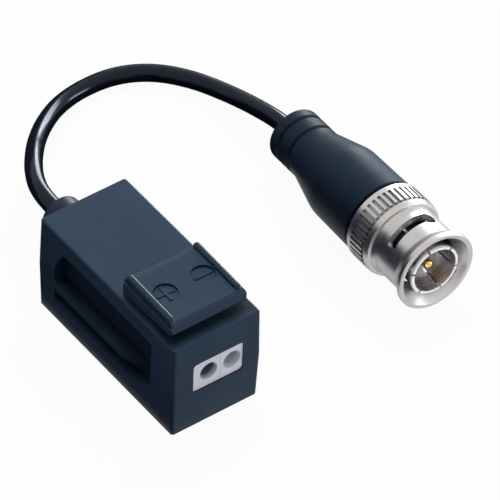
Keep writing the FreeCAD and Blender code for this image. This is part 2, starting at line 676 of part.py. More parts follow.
def press_lever():
    """Wedge-shaped plate with side beads, dimples, a hollow underside and two hinge ears."""
    half = LEVER_WIDTH / 2
    bevel_y = LEVER_BACK - LEVER_BACK_BEVEL
    back_z = lever_top_z(LEVER_BACK) - LEVER_BACK_BEVEL_DROP
    nose_y = LEVER_FRONT + LEVER_NOSE_SLANT
    side = [(LEVER_FRONT, lever_under_z(LEVER_FRONT), 0.3), (LEVER_BACK, lever_under_z(LEVER_BACK), 0.15),
            (LEVER_BACK, back_z, 0.3), (bevel_y, lever_top_z(bevel_y)), (nose_y, lever_top_z(nose_y), 0.5)]
    plate = prism(side, yz(-half), Vector(LEVER_WIDTH, 0, 0))
    bead_outer = half - BEAD_INSET
    bead_inner = bead_outer - BEAD_WIDTH
    ledge = [(LEVER_FRONT - 1, lever_top_z(LEVER_FRONT - 1) - LEDGE_DROP),
             (LEVER_BACK + 1, lever_top_z(LEVER_BACK + 1) - LEDGE_DROP), (LEVER_BACK + 1, BIG), (LEVER_FRONT - 1, BIG)]
    ledge_cut = prism(ledge, yz(bead_outer), Vector(BIG, 0, 0))
    bead_front = nose_y + BEAD_FRONT_GAP
    bead_back = LEVER_BACK - BEAD_BACK_GAP
    crest = [(bead_front - 0.5, lever_top_z(bead_front) - 0.5), (bead_back, lever_top_z(bead_back) - 1.0),
             (bead_back, lever_top_z(bead_back) + BEAD_HEIGHT, 0.6),
             (bead_front + 0.3, lever_top_z(bead_front) + BEAD_HEIGHT, 0.8)]
    bead = prism(crest, yz(bead_inner), Vector(BEAD_WIDTH, 0, 0))
    crest_edges = [e for e in bead.Edges if e.BoundBox.ZMax > LEVER_TOP_FRONT_Z + BEAD_HEIGHT / 2
                   and e.BoundBox.XLength < 1e-6 and e.BoundBox.YLength > 3]
    bead = bead.makeFillet(BEAD_WIDTH * 0.42, crest_edges)
    lever = plate.cut(both_sides(ledge_cut)).fuse(both_sides(bead))
    plan = [(-half, LEVER_FRONT - 0.01, LEVER_CORNER_R), (half, LEVER_FRONT - 0.01, LEVER_CORNER_R),
            (half, LEVER_BACK + 0.01, LEVER_CORNER_R / 2), (-half, LEVER_BACK + 0.01, LEVER_CORNER_R / 2)]
    lever = lever.common(prism(plan, xy(0), Vector(0, 0, BIG)))
    pit_front = nose_y + LEVER_RIM
    pit_back = PIVOT_Y - EAR_LENGTH / 2 - HEEL_LENGTH
    pit_side = half - BEAD_INSET - LEVER_RIM
    under = [(pit_front, 0), (pit_back, 0), (pit_back, lever_top_z(pit_back) - DIMPLE_DEPTH - LEVER_SKIN),
             (pit_front, lever_top_z(pit_front) - DIMPLE_DEPTH - LEVER_SKIN)]
    pit = prism(under, yz(-pit_side), Vector(2 * pit_side, 0, 0))
    pads = []
    for x in POLE_X:
        pads.append(box(x - PLUNGER_WIDTH / 2, x + PLUNGER_WIDTH / 2, pit_front, pit_back, 0, BIG))
    lever = lever.cut(pit.cut(pads))
    for x in (-DIMPLE_X, DIMPLE_X):
        floor_z = lever_top_z(DIMPLE_Y) - DIMPLE_DEPTH
        lever = lever.cut(rod(DIMPLE_R, Vector(x, DIMPLE_Y, floor_z), Vector(x, DIMPLE_Y, BIG)))
    ear_front = PIVOT_Y - EAR_LENGTH / 2
    ear_back = PIVOT_Y + EAR_LENGTH / 2
    ear_base = PIVOT_Z - PIVOT_R
    heel_front = ear_front - HEEL_LENGTH
    heel_top = CEILING_Z - SLIDING
    ear = [(ear_front, ear_base, 0.6), (ear_back, ear_base, 0.9), (ear_back, HOUSING_HEIGHT + 1),
           (ear_front, HOUSING_HEIGHT + 1), (ear_front, heel_top), (heel_front, heel_top),
           (heel_front, heel_top - HEEL_LENGTH), (ear_front, heel_top - 2 * HEEL_LENGTH)]
    ear = prism(ear, yz(EAR_INNER), Vector(EAR_THICKNESS, 0, 0))
    trunnion = rod(PIVOT_R, Vector(EAR_INNER, PIVOT_Y, PIVOT_Z), Vector(EAR_OUTER + PIVOT_LENGTH, PIVOT_Y, PIVOT_Z))
    hinge = ear.fuse(trunnion)
    return lever.fuse(both_sides(hinge)).removeSplitter()


def circuit_board():
    """Board with holes for the bar tails and the arrester's pins."""
    half = BOARD_WIDTH / 2
    board = box(-half, half, BOARD_FRONT, BOARD_BACK, BOARD_BASE_Z, BOARD_TOP_Z)
    cuts = []
    for x in POLE_X:
        half_x = BAR_WIDTH / 2 + SEATED
        half_y = BAR_THICKNESS / 2 + SEATED
        cuts.append(box(x - half_x, x + half_x, BAR_TAIL_Y - half_y, BAR_TAIL_Y + half_y, 0, BIG))
    pin_x = ARRESTER_LENGTH / 2 + PIN_REACH
    for x in (-pin_x, pin_x):
        cuts.append(rod(PIN_HOLE_R, Vector(x, ARRESTER_Y, 0), Vector(x, ARRESTER_Y, BIG)))
    return board.cut(cuts)


def balun_core():
    """Ferrite ring held a wire's thickness above the board."""
    low = BOARD_TOP_Z + TURN_WIRE
    high = low + CORE_HEIGHT
    ring = [(CORE_BORE_R, low), (CORE_R, low), (CORE_R, high), (CORE_BORE_R, high)]
    return turned(ring).translated(Vector(0, CORE_Y, 0))


def balun_winding():
    """Turns round the ferrite ring, each a closed loop of wire."""
    low = BOARD_TOP_Z
    high = low + CORE_HEIGHT + 2 * TURN_WIRE
    half = TURN_WIRE / 2
    loop = box(CORE_BORE_R - TURN_WIRE, CORE_R + TURN_WIRE, -half, half, low, high)
    loop = loop.cut(box(CORE_BORE_R, CORE_R, -1, 1, low + TURN_WIRE, high - TURN_WIRE))
    turns = []
    for i in range(TURN_COUNT):
        turn = loop.copy()
        turn.rotate(Vector(0, 0, 0), Vector(0, 0, 1), 360.0 * (i + 0.5) / TURN_COUNT)
        turns.append(turn.translated(Vector(0, CORE_Y, 0)))
    return Part.makeCompound(turns)


def surge_arrester():
    """Gas discharge tube lying across the board, with two bent pins."""
    end = ARRESTER_LENGTH / 2
    waist = end - ARRESTER_BAND
    body = turned([(0, -end), (ARRESTER_R, -end), (ARRESTER_R, -waist), (ARRESTER_WAIST_R, -waist),
                   (ARRESTER_WAIST_R, waist), (ARRESTER_R, waist), (ARRESTER_R, end), (0, end)])
    body.rotate(Vector(0, 0, 0), Vector(0, 1, 0), 90)
    axis_z = BOARD_TOP_Z + ARRESTER_R
    body = body.translated(Vector(0, ARRESTER_Y, axis_z))
    pin_x = end + PIN_REACH
    path = [Vector(end - 0.2, ARRESTER_Y, axis_z), Vector(pin_x, ARRESTER_Y, axis_z),
            Vector(pin_x, ARRESTER_Y, BOARD_BASE_Z - PIN_TAIL)]
    pin = tube(PIN_R, path, [0, 2 * PIN_R, 0])
    return body.fuse(both_sides(pin))


def chip(x, y):
    """Surface-mounted chip on the board."""
    half_x = CHIP_WIDTH / 2
    half_y = CHIP_LENGTH / 2
    return box(x - half_x, x + half_x, y - half_y, y + half_y, BOARD_TOP_Z, BOARD_TOP_Z + CHIP_HEIGHT)


def cable_gland():
    """Round stub with a neck through the back wall and a flange behind it."""
    flange_front = BACK - WALL - END_DRAFT_BASE - SEATED
    profile = [(0, flange_front - GLAND_FLANGE), (GLAND_FLANGE_R, flange_front - GLAND_FLANGE, 0.3),
               (GLAND_FLANGE_R, flange_front), (GLAND_NECK_R, flange_front), (GLAND_NECK_R, BACK + SEATED),
               (GLAND_R, BACK + SEATED), (GLAND_END_R, GLAND_TIP, GLAND_EDGE_R), (0, GLAND_TIP)]
    stub = turned(profile)
    stub.rotate(Vector(0, 0, 0), Vector(1, 0, 0), -90)
    return stub.translated(Vector(0, 0, GLAND_Z))


def stripped_tail(x, radius):
    """Stripped end of the lead from the gland's flange down to the board."""
    start = BACK - WALL - END_DRAFT_BASE - SEATED - GLAND_FLANGE
    path = [Vector(x, start, GLAND_Z), Vector(x, TAIL_DROP_Y, GLAND_Z), Vector(x, TAIL_DROP_Y, BOARD_TOP_Z)]
    return tube(radius, path, [0, TAIL_BEND_R, 0])


def plug_axis():
    """Unit vector along the plug towards its mouth."""
    yaw = math.radians(PLUG_YAW)
    pitch = math.radians(PLUG_PITCH)
    level = math.cos(pitch)
    return Vector(math.sin(yaw) * level, -math.cos(yaw) * level, math.sin(pitch))


def plug_origin():
    """Centre of the sleeve's back edge, with the sleeve and the boot resting on the ground."""
    return Vector(PLUG_X, PLUG_Y, RING_R * math.cos(math.radians(PLUG_PITCH)))


def on_plug(shape):
    """Carry a piece from the plug's own frame, Z towards its mouth, to where the plug lies."""
    forward = plug_axis()
    across = Vector(0, 0, 1).cross(forward).normalize()
    up = forward.cross(across)
    place = plug_origin()
    rows = (across.x, up.x, forward.x, place.x, across.y, up.y, forward.y, place.y,
            across.z, up.z, forward.z, place.z, 0, 0, 0, 1)
    return shape.transformed(FreeCAD.Matrix(*rows), True)


def helix_edge(radius, t_start, t_end, angle_start, angle_end):
    """Helix at a radius between two stations and two angles in degrees."""
    steps = 12
    points = []
    for i in range(steps + 1):
        share = i / steps
        angle = math.radians(angle_start + share * (angle_end - angle_start))
        height = t_start + share * (t_end - t_start)
        points.append(Vector(radius * math.cos(angle), radius * math.sin(angle), height))
    curve = Part.BSplineCurve()
    curve.interpolate(points)
    return curve.toShape()


def ruled_solid(inner_low, outer_low, inner_high, outer_high, closed):
    """Solid between four edges that run side by side."""
    faces = [Part.makeRuledSurface(inner_low, outer_low), Part.makeRuledSurface(inner_high, outer_high),
             Part.makeRuledSurface(inner_low, inner_high), Part.makeRuledSurface(outer_low, outer_high)]
    if not closed:
        for end in (0, -1):
            corners = [edge.Vertexes[end].Point for edge in (inner_low, outer_low, outer_high, inner_high)]
            faces.append(Part.Face(Part.makePolygon(corners + corners[:1])))
    shell = Part.makeShell(faces)
    shell.sewShape()
    solid = Part.makeSolid(shell)
    if solid.Volume < 0:
        solid.reverse()
    return solid


def slot_cutter():
    """Helical slot with a round entry end and a wider round seat at its other end."""
    reach_in = SLEEVE_BORE_R - 1
    reach_out = RING_R + 1
    seat_angle = SLOT_ENTRY_ANGLE - SLOT_SWEEP
    seat_t = SLOT_ENTRY_T - SLOT_RISE
    half = SLOT_WIDTH / 2
    edges = []
    for offset in (-half, half):
        for radius in (reach_in, reach_out):
            edges.append(helix_edge(radius, SLOT_ENTRY_T + offset, seat_t + offset, SLOT_ENTRY_ANGLE, seat_angle))
    band = ruled_solid(*edges, False)

    def drill(angle, t, radius):
        turn = math.radians(angle)
        ray = Vector(math.cos(turn), math.sin(turn), 0)
        return rod(radius, ray * reach_in + Vector(0, 0, t), ray * reach_out + Vector(0, 0, t))

    entry = drill(SLOT_ENTRY_ANGLE, SLOT_ENTRY_T, half)
    seat = drill(seat_angle, seat_t + SLOT_END_R - half, SLOT_END_R)
    return band.fuse([entry, seat])


def entry_cutter():
    """Inner groove that leads a stud from the mouth to its slot."""
    half = ENTRY_WIDTH / 2
    groove = box(0, BIG, -half, half, SLOT_ENTRY_T, SLEEVE_LENGTH + 1)
    groove = groove.common(rod(ENTRY_R, Vector(0, 0, 0), Vector(0, 0, BIG)))
    groove.rotate(Vector(0, 0, 0), Vector(0, 0, 1), SLOT_ENTRY_ANGLE)
    return groove


def coupling_sleeve():
    """Bayonet sleeve: knurled ring, shoulder, slotted waist and flared lip."""
    relief = KNURL_START + KNURL_LENGTH
    lip_back = SLEEVE_LENGTH - LIP_WIDTH
    face = RING_R - 0.25
    profile = [
        (SLEEVE_BORE_R + 0.1, 0), (RING_R - RING_EDGE, 0), (RING_R, RING_EDGE), (RING_R, relief),
        (RING_R - RELIEF_DEPTH, relief), (RING_R - RELIEF_DEPTH, relief + RELIEF_WIDTH),
        (RING_R, relief + RELIEF_WIDTH + 0.1, 0.1), (face, RING_LENGTH - 0.15, 0.3), (WAIST_R + 0.3, RING_LENGTH),
        (WAIST_R, RING_LENGTH + SHOULDER_BLEND, 0.6), (WAIST_R, lip_back - LIP_FLARE, LIP_FLARE_R),
        (LIP_R, lip_back, 0.4), (LIP_R, SLEEVE_LENGTH - 0.15, 0.12), (LIP_R - 0.2, SLEEVE_LENGTH),
        (MOUTH_R, SLEEVE_LENGTH, 0.1), (SLEEVE_BORE_R, SLEEVE_LENGTH - MOUTH_DEPTH, 0.5),
        (SLEEVE_BORE_R, SLEEVE_LIP_FRONT), (BARREL_R + RUNNING, SLEEVE_LIP_FRONT), (BARREL_R + RUNNING, RING_SEAT_DEPTH),
        (SLEEVE_BORE_R + 0.1, RING_SEAT_DEPTH),
    ]
    sleeve = turned(profile)
    cuts = []
    for i in range(KNURL_COUNT):
        tooth = box(RING_R - KNURL_DEPTH, RING_R + 1, -KNURL_WIDTH / 2, KNURL_WIDTH / 2, KNURL_START, relief + 0.1)
        tooth.rotate(Vector(0, 0, 0), Vector(0, 0, 1), 360.0 * i / KNURL_COUNT)
        cuts.append(tooth)
    for start in (0, 180):
        for cutter in (slot_cutter(), entry_cutter()):
            cutter.rotate(Vector(0, 0, 0), Vector(0, 0, 1), start)
            cuts.append(cutter)
    return sleeve.cut(cuts)


def plug_body():
    """Turned body: barrel with the retainer's groove, flange, and spigot for the lead."""
    seat_low = RING_SEAT_DEPTH - RUNNING - RETAINER_THICKNESS - SEATED
    seat_high = RING_SEAT_DEPTH - RUNNING + SEATED
    bore_back = INSULATOR_BACK_T
    seat_bore = CONTACT_R + SEATED - 0.3
    profile = [
        (SPIGOT_BORE_R, SPIGOT_BACK), (SPIGOT_R, SPIGOT_BACK), (SPIGOT_R, BARREL_BACK), (BARREL_R, BARREL_BACK),
        (BARREL_R, seat_low), (RETAINER_SEAT_R, seat_low), (RETAINER_SEAT_R, seat_high), (BARREL_R, seat_high),
        (BARREL_R, FLANGE_T), (FLANGE_R, FLANGE_T), (FLANGE_R, FLANGE_FRONT_T),
        (seat_bore, FLANGE_FRONT_T), (seat_bore, FLANGE_FRONT_T - CONTACT_SEAT),
        (BODY_BORE_R, FLANGE_FRONT_T - CONTACT_SEAT), (BODY_BORE_R, bore_back), (SPIGOT_BORE_R, bore_back),
    ]
    return turned(profile)


def retaining_ring():
    """Open ring in the barrel's groove that keeps the sleeve on."""
    high = RING_SEAT_DEPTH - RUNNING
    low = high - RETAINER_THICKNESS
    inner = RETAINER_SEAT_R + SEATED
    ring = turned([(inner, low), (RETAINER_R, low), (RETAINER_R, high), (inner, high)])
    half = math.radians(RETAINER_GAP_ANGLE / 2)
    far = BIG
    wedge = [(0, 0), (far * math.cos(half), -far * math.sin(half)), (far * math.cos(half), far * math.sin(half))]
    return ring.cut(prism(wedge, xy(-1), Vector(0, 0, 3)))


def thrust_washer():
    """Flat washer in front of the sleeve's inner lip."""
    inner = BARREL_R + RUNNING
    high = WASHER_T + WASHER_THICKNESS
    return turned([(inner, WASHER_T), (WASHER_R, WASHER_T), (WASHER_R, high), (inner, high)])


def wave_washer():
    """Spring washer with a few gentle waves, between the flat washer and the flange."""
    swing = (WAVE_HEIGHT - WAVE_THICKNESS) / 2
    middle = WAVE_T + swing
    steps = WAVE_COUNT * 8

    def wave(radius, lift):
        points = []
        for i in range(steps):
            angle = 2 * math.pi * i / steps
            height = middle + lift + swing * math.cos(WAVE_COUNT * angle)
            points.append(Vector(radius * math.cos(angle), radius * math.sin(angle), height))
        curve = Part.BSplineCurve()
        curve.interpolate(points, PeriodicFlag=True)
        return curve.toShape()

    inner = BARREL_R + SLIDING
    outer = WASHER_R - SEATED
    return ruled_solid(wave(inner, 0), wave(outer, 0), wave(inner, WAVE_THICKNESS), wave(outer, WAVE_THICKNESS), True)


def gasket():
    """Sealing ring on the flange's front face."""
    low = FLANGE_FRONT_T
    high = low + GASKET_LENGTH
    inner = CONTACT_R + SEATED
    outer = FLANGE_R - SEATED
    return turned([(inner, low), (outer, low), (outer, high), (inner, high)])


def outer_contact():
    """Slotted spring contact, flared towards its tip."""
    root = FLANGE_FRONT_T - CONTACT_SEAT
    step_r = CONTACT_R - 0.3
    inner = CONTACT_R - CONTACT_WALL
    flare = CONTACT_TIP_T - CONTACT_FLARE
    profile = [
        (BODY_BORE_R + SEATED, root), (step_r, root), (step_r, FLANGE_FRONT_T + SEATED), (CONTACT_R, FLANGE_FRONT_T + SEATED),
        (CONTACT_R, flare), (CONTACT_TIP_R, CONTACT_TIP_T - 0.3), (CONTACT_TIP_R - 0.12, CONTACT_TIP_T),
        (CONTACT_TIP_R - CONTACT_WALL - 0.1, CONTACT_TIP_T), (inner, flare),
        (inner, INSULATOR_FACE_T), (BODY_BORE_R + SEATED, INSULATOR_FACE_T),
    ]
    contact = turned(profile)
    slits = []
    for i in range(SLIT_COUNT):
        slit = box(1, BIG, -SLIT_WIDTH / 2, SLIT_WIDTH / 2, SLIT_START_T, BIG)
        slit.rotate(Vector(0, 0, 0), Vector(0, 0, 1), SLIT_ANGLE + 360.0 * i / SLIT_COUNT)
        slits.append(slit)
    return contact.cut(slits)


def insulator():
    """Plain bush that holds the centre pin in the body."""
    inner = CENTRE_PIN_R + SEATED
    outer = BODY_BORE_R - SEATED
    pot = INSULATOR_BACK_T + SEATED + CENTRE_PIN_POT / 2
    wide = CENTRE_PIN_POT_R + SEATED
    low = INSULATOR_BACK_T + SEATED
    return turned([(wide, low), (outer, low), (outer, INSULATOR_FACE_T), (inner, INSULATOR_FACE_T),
                   (inner, pot), (wide, pot)])


def centre_pin():
    """Pin with a rounded tip and a solder pot at its back."""
    pot_front = INSULATOR_BACK_T + CENTRE_PIN_POT / 2
    pot_back = pot_front - CENTRE_PIN_POT
    tip = CENTRE_PIN_TIP_T
    profile = [(0, pot_back), (CENTRE_PIN_POT_R, pot_back), (CENTRE_PIN_POT_R, pot_front),
               (CENTRE_PIN_R, pot_front), (CENTRE_PIN_R, tip, CENTRE_PIN_R * 0.85), (0, tip)]
    return turned(profile)


def crimp_ferrule():
    """Sleeve crimped over the lead's braid on the spigot."""
    high = BARREL_BACK - LOOSE
    low = high - FERRULE_LENGTH
    inner = FERRULE_R - FERRULE_WALL
    return turned([(inner, low), (FERRULE_R, low), (FERRULE_R, high), (inner, high)])


def plug_boot():
    """Moulded boot: barrel, flare down to a grooved tail, formed round the body and the ferrule."""
    front = -BOOT_GAP
    boot = turned([(0, front), (BOOT_FRONT_R, front, 0.3), (BOOT_BARREL_R, BOOT_BARREL_BACK_T, BOOT_SHOULDER_R),
                   (BOOT_TAIL_R, BOOT_NECK_T, BOOT_NECK_BLEND_R), (BOOT_TAIL_R, BOOT_TAIL_T, BOOT_TAIL_EDGE_R),
                   (0, BOOT_TAIL_T)])
    cuts = []
    for t in BOOT_GROOVES:
        half = BOOT_GROOVE_WIDTH / 2
        ring = [(BOOT_TAIL_R - BOOT_GROOVE_DEPTH, t - half / 2), (BOOT_TAIL_R - BOOT_GROOVE_DEPTH, t + half / 2),
                (BOOT_TAIL_R + 1, t + 2 * half), (BOOT_TAIL_R + 1, t - 2 * half)]
        cuts.append(turned(ring))
    moulded_over = [
        (0, SPIGOT_BACK), (SPIGOT_R, SPIGOT_BACK), (SPIGOT_R, BARREL_BACK - LOOSE - FERRULE_LENGTH),
        (FERRULE_R, BARREL_BACK - LOOSE - FERRULE_LENGTH), (FERRULE_R, BARREL_BACK), (BARREL_R, BARREL_BACK),
        (BARREL_R, 1), (0, 1)]
    cuts.append(turned(moulded_over))
    return boot.cut(cuts)


def lead():
    """Round cable from the gland's end to the boot's tail, with arcs as large as its runs allow."""
    tail = plug_origin() + plug_axis() * BOOT_TAIL_T
    points = [Vector(0, GLAND_TIP, GLAND_Z), Vector(0, GLAND_TIP + LEAD_EXIT, GLAND_Z)]
    points += [Vector(*p) for p in LEAD_ROUTE]
    points += [tail - plug_axis() * LEAD_EXIT, tail]
    radii = [0] * len(points)
    for i in range(1, len(points) - 1):
        back = points[i - 1] - points[i]
        ahead = points[i + 1] - points[i]
        half_turn = (math.pi - back.getAngle(ahead)) / 2
        radii[i] = 0.45 * min(back.Length, ahead.Length) / math.tan(half_turn)
    print("lead radii", [round(r, 1) for r in radii[1:-1]])
    length = sum(e.Length for e in smooth_edges(points, radii, False))
    cable = tube(LEAD_R, points, radii)
    print("lead length", round(length, 2), "volume", round(cable.Volume, 1),
          "section times length", round(math.pi * LEAD_R ** 2 * length, 1))
    return cable


def build():
    """Every piece by its name, where it lies in the finished balun."""
    left, right = POLE_X
    pieces = {
        "lower_shell": lower_shell(),
        "upper_shell": upper_shell(),
        "press_lever": press_lever(),
        "terminal_block": terminal_block(),
        "plunger_plus": plunger(left),
        "plunger_minus": plunger(right),
        "clamp_spring_plus": clamp_spring(left),
        "clamp_spring_minus": clamp_spring(right),
        "contact_bar_plus": contact_bar(left),
        "contact_bar_minus": contact_bar(right),
        "circuit_board": circuit_board(),
        "balun_core": balun_core(),
        "balun_winding": balun_winding(),
        "surge_arrester": surge_arrester(),
        "capacitor_plus": chip(-CHIP_X, CAPACITOR_Y),
        "capacitor_minus": chip(CHIP_X, CAPACITOR_Y),
        "resistor_plus": chip(-CHIP_X, RESISTOR_Y),
        "resistor_minus": chip(CHIP_X, RESISTOR_Y),
        "cable_gland": cable_gland(),
        "lead_core": stripped_tail(TAIL_SPACING / 2, CORE_WIRE_R),
        "lead_braid": stripped_tail(-TAIL_SPACING / 2, BRAID_R),
        "lead": lead(),
    }
    plug_pieces = {
        "plug_boot": plug_boot(),
        "plug_body": plug_body(),
        "crimp_ferrule": crimp_ferrule(),
        "retaining_ring": retaining_ring(),
        "thrust_washer": thrust_washer(),
        "wave_washer": wave_washer(),
        "gasket": gasket(),
        "insulator": insulator(),
        "centre_pin": centre_pin(),
        "outer_contact": outer_contact(),
        "coupling_sleeve": coupling_sleeve(),
    }
    for name, shape in plug_pieces.items():
        pieces[name] = on_plug(shape)
    return pieces


os.makedirs("parts", exist_ok=True)
for name, shape in build().items():
    shape.exportStep("parts/" + name + ".step")
    print(name, "solids", len(shape.Solids), "volume", round(shape.Volume, 2), "valid", shape.isValid())
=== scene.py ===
"""Looks of the passive video balun: camera, studio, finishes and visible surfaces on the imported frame."""
import logging
import math
from dataclasses import dataclass
from enum import Enum
from typing import Any, Dict, List, Optional, Sequence, Tuple

import bmesh
import bpy
import numpy as np
from mathutils import Matrix, Vector


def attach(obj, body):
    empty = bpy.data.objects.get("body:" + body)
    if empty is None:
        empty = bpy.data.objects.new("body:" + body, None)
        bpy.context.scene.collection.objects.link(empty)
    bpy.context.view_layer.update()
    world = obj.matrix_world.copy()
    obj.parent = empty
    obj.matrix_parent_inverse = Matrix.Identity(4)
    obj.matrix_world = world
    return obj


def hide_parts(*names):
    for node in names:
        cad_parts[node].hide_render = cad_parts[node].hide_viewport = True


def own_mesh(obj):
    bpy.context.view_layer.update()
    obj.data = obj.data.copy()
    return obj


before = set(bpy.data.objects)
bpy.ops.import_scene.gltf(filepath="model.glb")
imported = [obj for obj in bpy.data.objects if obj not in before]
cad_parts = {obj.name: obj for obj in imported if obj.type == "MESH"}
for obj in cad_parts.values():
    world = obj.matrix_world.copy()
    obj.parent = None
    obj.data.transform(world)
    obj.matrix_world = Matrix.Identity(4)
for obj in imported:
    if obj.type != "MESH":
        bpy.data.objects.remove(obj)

LOG = logging.getLogger("balun")
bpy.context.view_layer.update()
MM = 0.001

Colour = Tuple[float, float, float]
Point = Tuple[float, float, float]
ProfilePoint = Tuple[float, ...]


class Slot(Enum):
    """Material slots of the record, listed beside each CAD node's finish."""

    HOUSING = "housing_plastic"
    LEVER = "lever_plastic"
    TERMINAL = "terminal_plastic"
    SPRING = "spring_steel"
    TINNED = "tinned_metal"
    BOARD = "board_laminate"
    FERRITE = "ferrite"
    COPPER = "copper_wire"
    CERAMIC = "ceramic"
    JACKET = "cable_jacket"
    BOOT = "boot_rubber"
    NICKEL = "nickel_plate"
    GOLD = "gold_plate"
    GASKET = "gasket_rubber"


# ---------------------------------------------------------------- node graphs


class Graph:
    """Node tree of one material or of the world.

    Args:
        tree: the node tree, which is emptied.
    """

    def __init__(self, tree: bpy.types.NodeTree) -> None:
        self.tree = tree
        tree.nodes.clear()

    def add(self, kind: str, sockets: Optional[Dict[Any, Any]] = None, **settings: Any) -> bpy.types.Node:
        """Adds a node.

        Args:
            kind: node type without its "ShaderNode" prefix.
            sockets: value or output socket for each input, by name or index.
            settings: attributes of the node.

        Returns:
            The new node.
        """
        node = self.tree.nodes.new("ShaderNode" + kind)
        for name, value in settings.items():
            setattr(node, name, value)
        for key, value in (sockets or {}).items():
            if isinstance(value, bpy.types.NodeSocket):
                self.tree.links.new(value, node.inputs[key])
            else:
                node.inputs[key].default_value = value
        return node

    def maths(self, operation: str, *values: Any) -> bpy.types.NodeSocket:
        """Adds a Math node.

        Args:
            operation: its operation.
            values: numbers or output sockets.

        Returns:
            Its result.
        """
        return self.add("Math", dict(enumerate(values)), operation=operation).outputs[0]

    def ramp(self, factor: bpy.types.NodeSocket, low: float, high: float, start: float = 0.0, end: float = 1.0
             ) -> bpy.types.NodeSocket:
        """Maps a range of values to another one, held at both ends.

        Args:
            factor: value to map.
            low: value that becomes start.
            high: value that becomes end.
            start: result at low.
            end: result at high.

        Returns:
            The mapped value.
        """
        return self.add("MapRange", {0: factor, 1: low, 2: high, 3: start, 4: end}).outputs[0]

    def blend(self, factor: Any, first: Any, second: Any) -> bpy.types.NodeSocket:
        """Mixes two colours.

        Args:
            factor: share of the second one.
            first: colour or output socket.
            second: colour or output socket.

        Returns:
            The mixed colour.
        """
        node = self.add("Mix", data_type="RGBA")
        for index, value in ((0, factor), (6, first), (7, second)):
            if isinstance(value, bpy.types.NodeSocket):
                self.tree.links.new(value, node.inputs[index])
            elif index:
                node.inputs[index].default_value = (*value, 1.0)
            else:
                node.inputs[index].default_value = value
        return node.outputs[2]

    def noise(self, vector: bpy.types.NodeSocket, scale: float, detail: float = 3.0, rough: float = 0.5
              ) -> bpy.types.NodeSocket:
        """Adds a noise texture.

        Args:
            vector: coordinates.
            scale: cycles per metre.
            detail: octaves.
            rough: strength of the finer octaves.

        Returns:
            Its value.
        """
        return self.add("TexNoise", {"Vector": vector, "Scale": scale, "Detail": detail, "Roughness": rough}).outputs[0]

    def place(self, rotation: Optional[Matrix] = None, origin: Point = (0, 0, 0), stretch: Point = (1, 1, 1)
              ) -> bpy.types.NodeSocket:
        """Object coordinates in a frame of their own.

        Args:
            rotation: rows are the frame's axes.
            origin: the frame's origin in metres.
            stretch: factor along each of the frame's axes.

        Returns:
            The coordinates.
        """
        here = self.add("TexCoord").outputs["Object"]
        if rotation is not None:
            moved = self.add("VectorMath", {0: here, 1: origin}, operation="SUBTRACT").outputs[0]
            here = self.add("Mapping", {"Vector": moved, "Rotation": tuple(rotation.to_euler())}).outputs[0]
        if stretch != (1, 1, 1):
            here = self.add("VectorMath", {0: here, 1: stretch}, operation="MULTIPLY").outputs[0]
        return here

    def bump(self, height: bpy.types.NodeSocket, depth: float, strength: float = 1.0,
             normal: Optional[bpy.types.NodeSocket] = None) -> bpy.types.NodeSocket:
        """Adds a bump.

        Args:
            height: height from 0 to 1.
            depth: its size in metres.
            strength: share of it that shows.
            normal: normal that it goes on.

        Returns:
            The bumped normal.
        """
        sockets = {"Height": height, "Distance": depth, "Strength": strength}
        if normal is not None:
            sockets["Normal"] = normal
        return self.add("Bump", sockets).outputs[0]


@dataclass(frozen=True)
class Finish:
    """Base of the finishes.

    Args:
        name: name of the material.
        colour: main colour, linear.
        roughness: mean roughness.
    """

    name: str
    colour: Colour
    roughness: float = 0.5

    def material(self) -> bpy.types.Material:
        """Builds the material.

        Returns:
            The material.
        """
        made = bpy.data.materials.new(self.name)
        made.use_nodes = True
        graph = Graph(made.node_tree)
        shader = graph.add("BsdfPrincipled", {"Roughness": self.roughness, "Base Color": (*self.colour, 1.0)})
        for key, value in self.sockets(graph).items():
            if isinstance(value, bpy.types.NodeSocket):
                graph.tree.links.new(value, shader.inputs[key])
            else:
                shader.inputs[key].default_value = value
        graph.add("OutputMaterial", {"Surface": shader.outputs[0]})
        return made

    def sockets(self, graph: Graph) -> Dict[str, Any]:
        """Values and outputs for the shader's inputs.

        Args:
            graph: the material's graph.

        Returns:
            Input name to value or output socket.
        """
        return {}


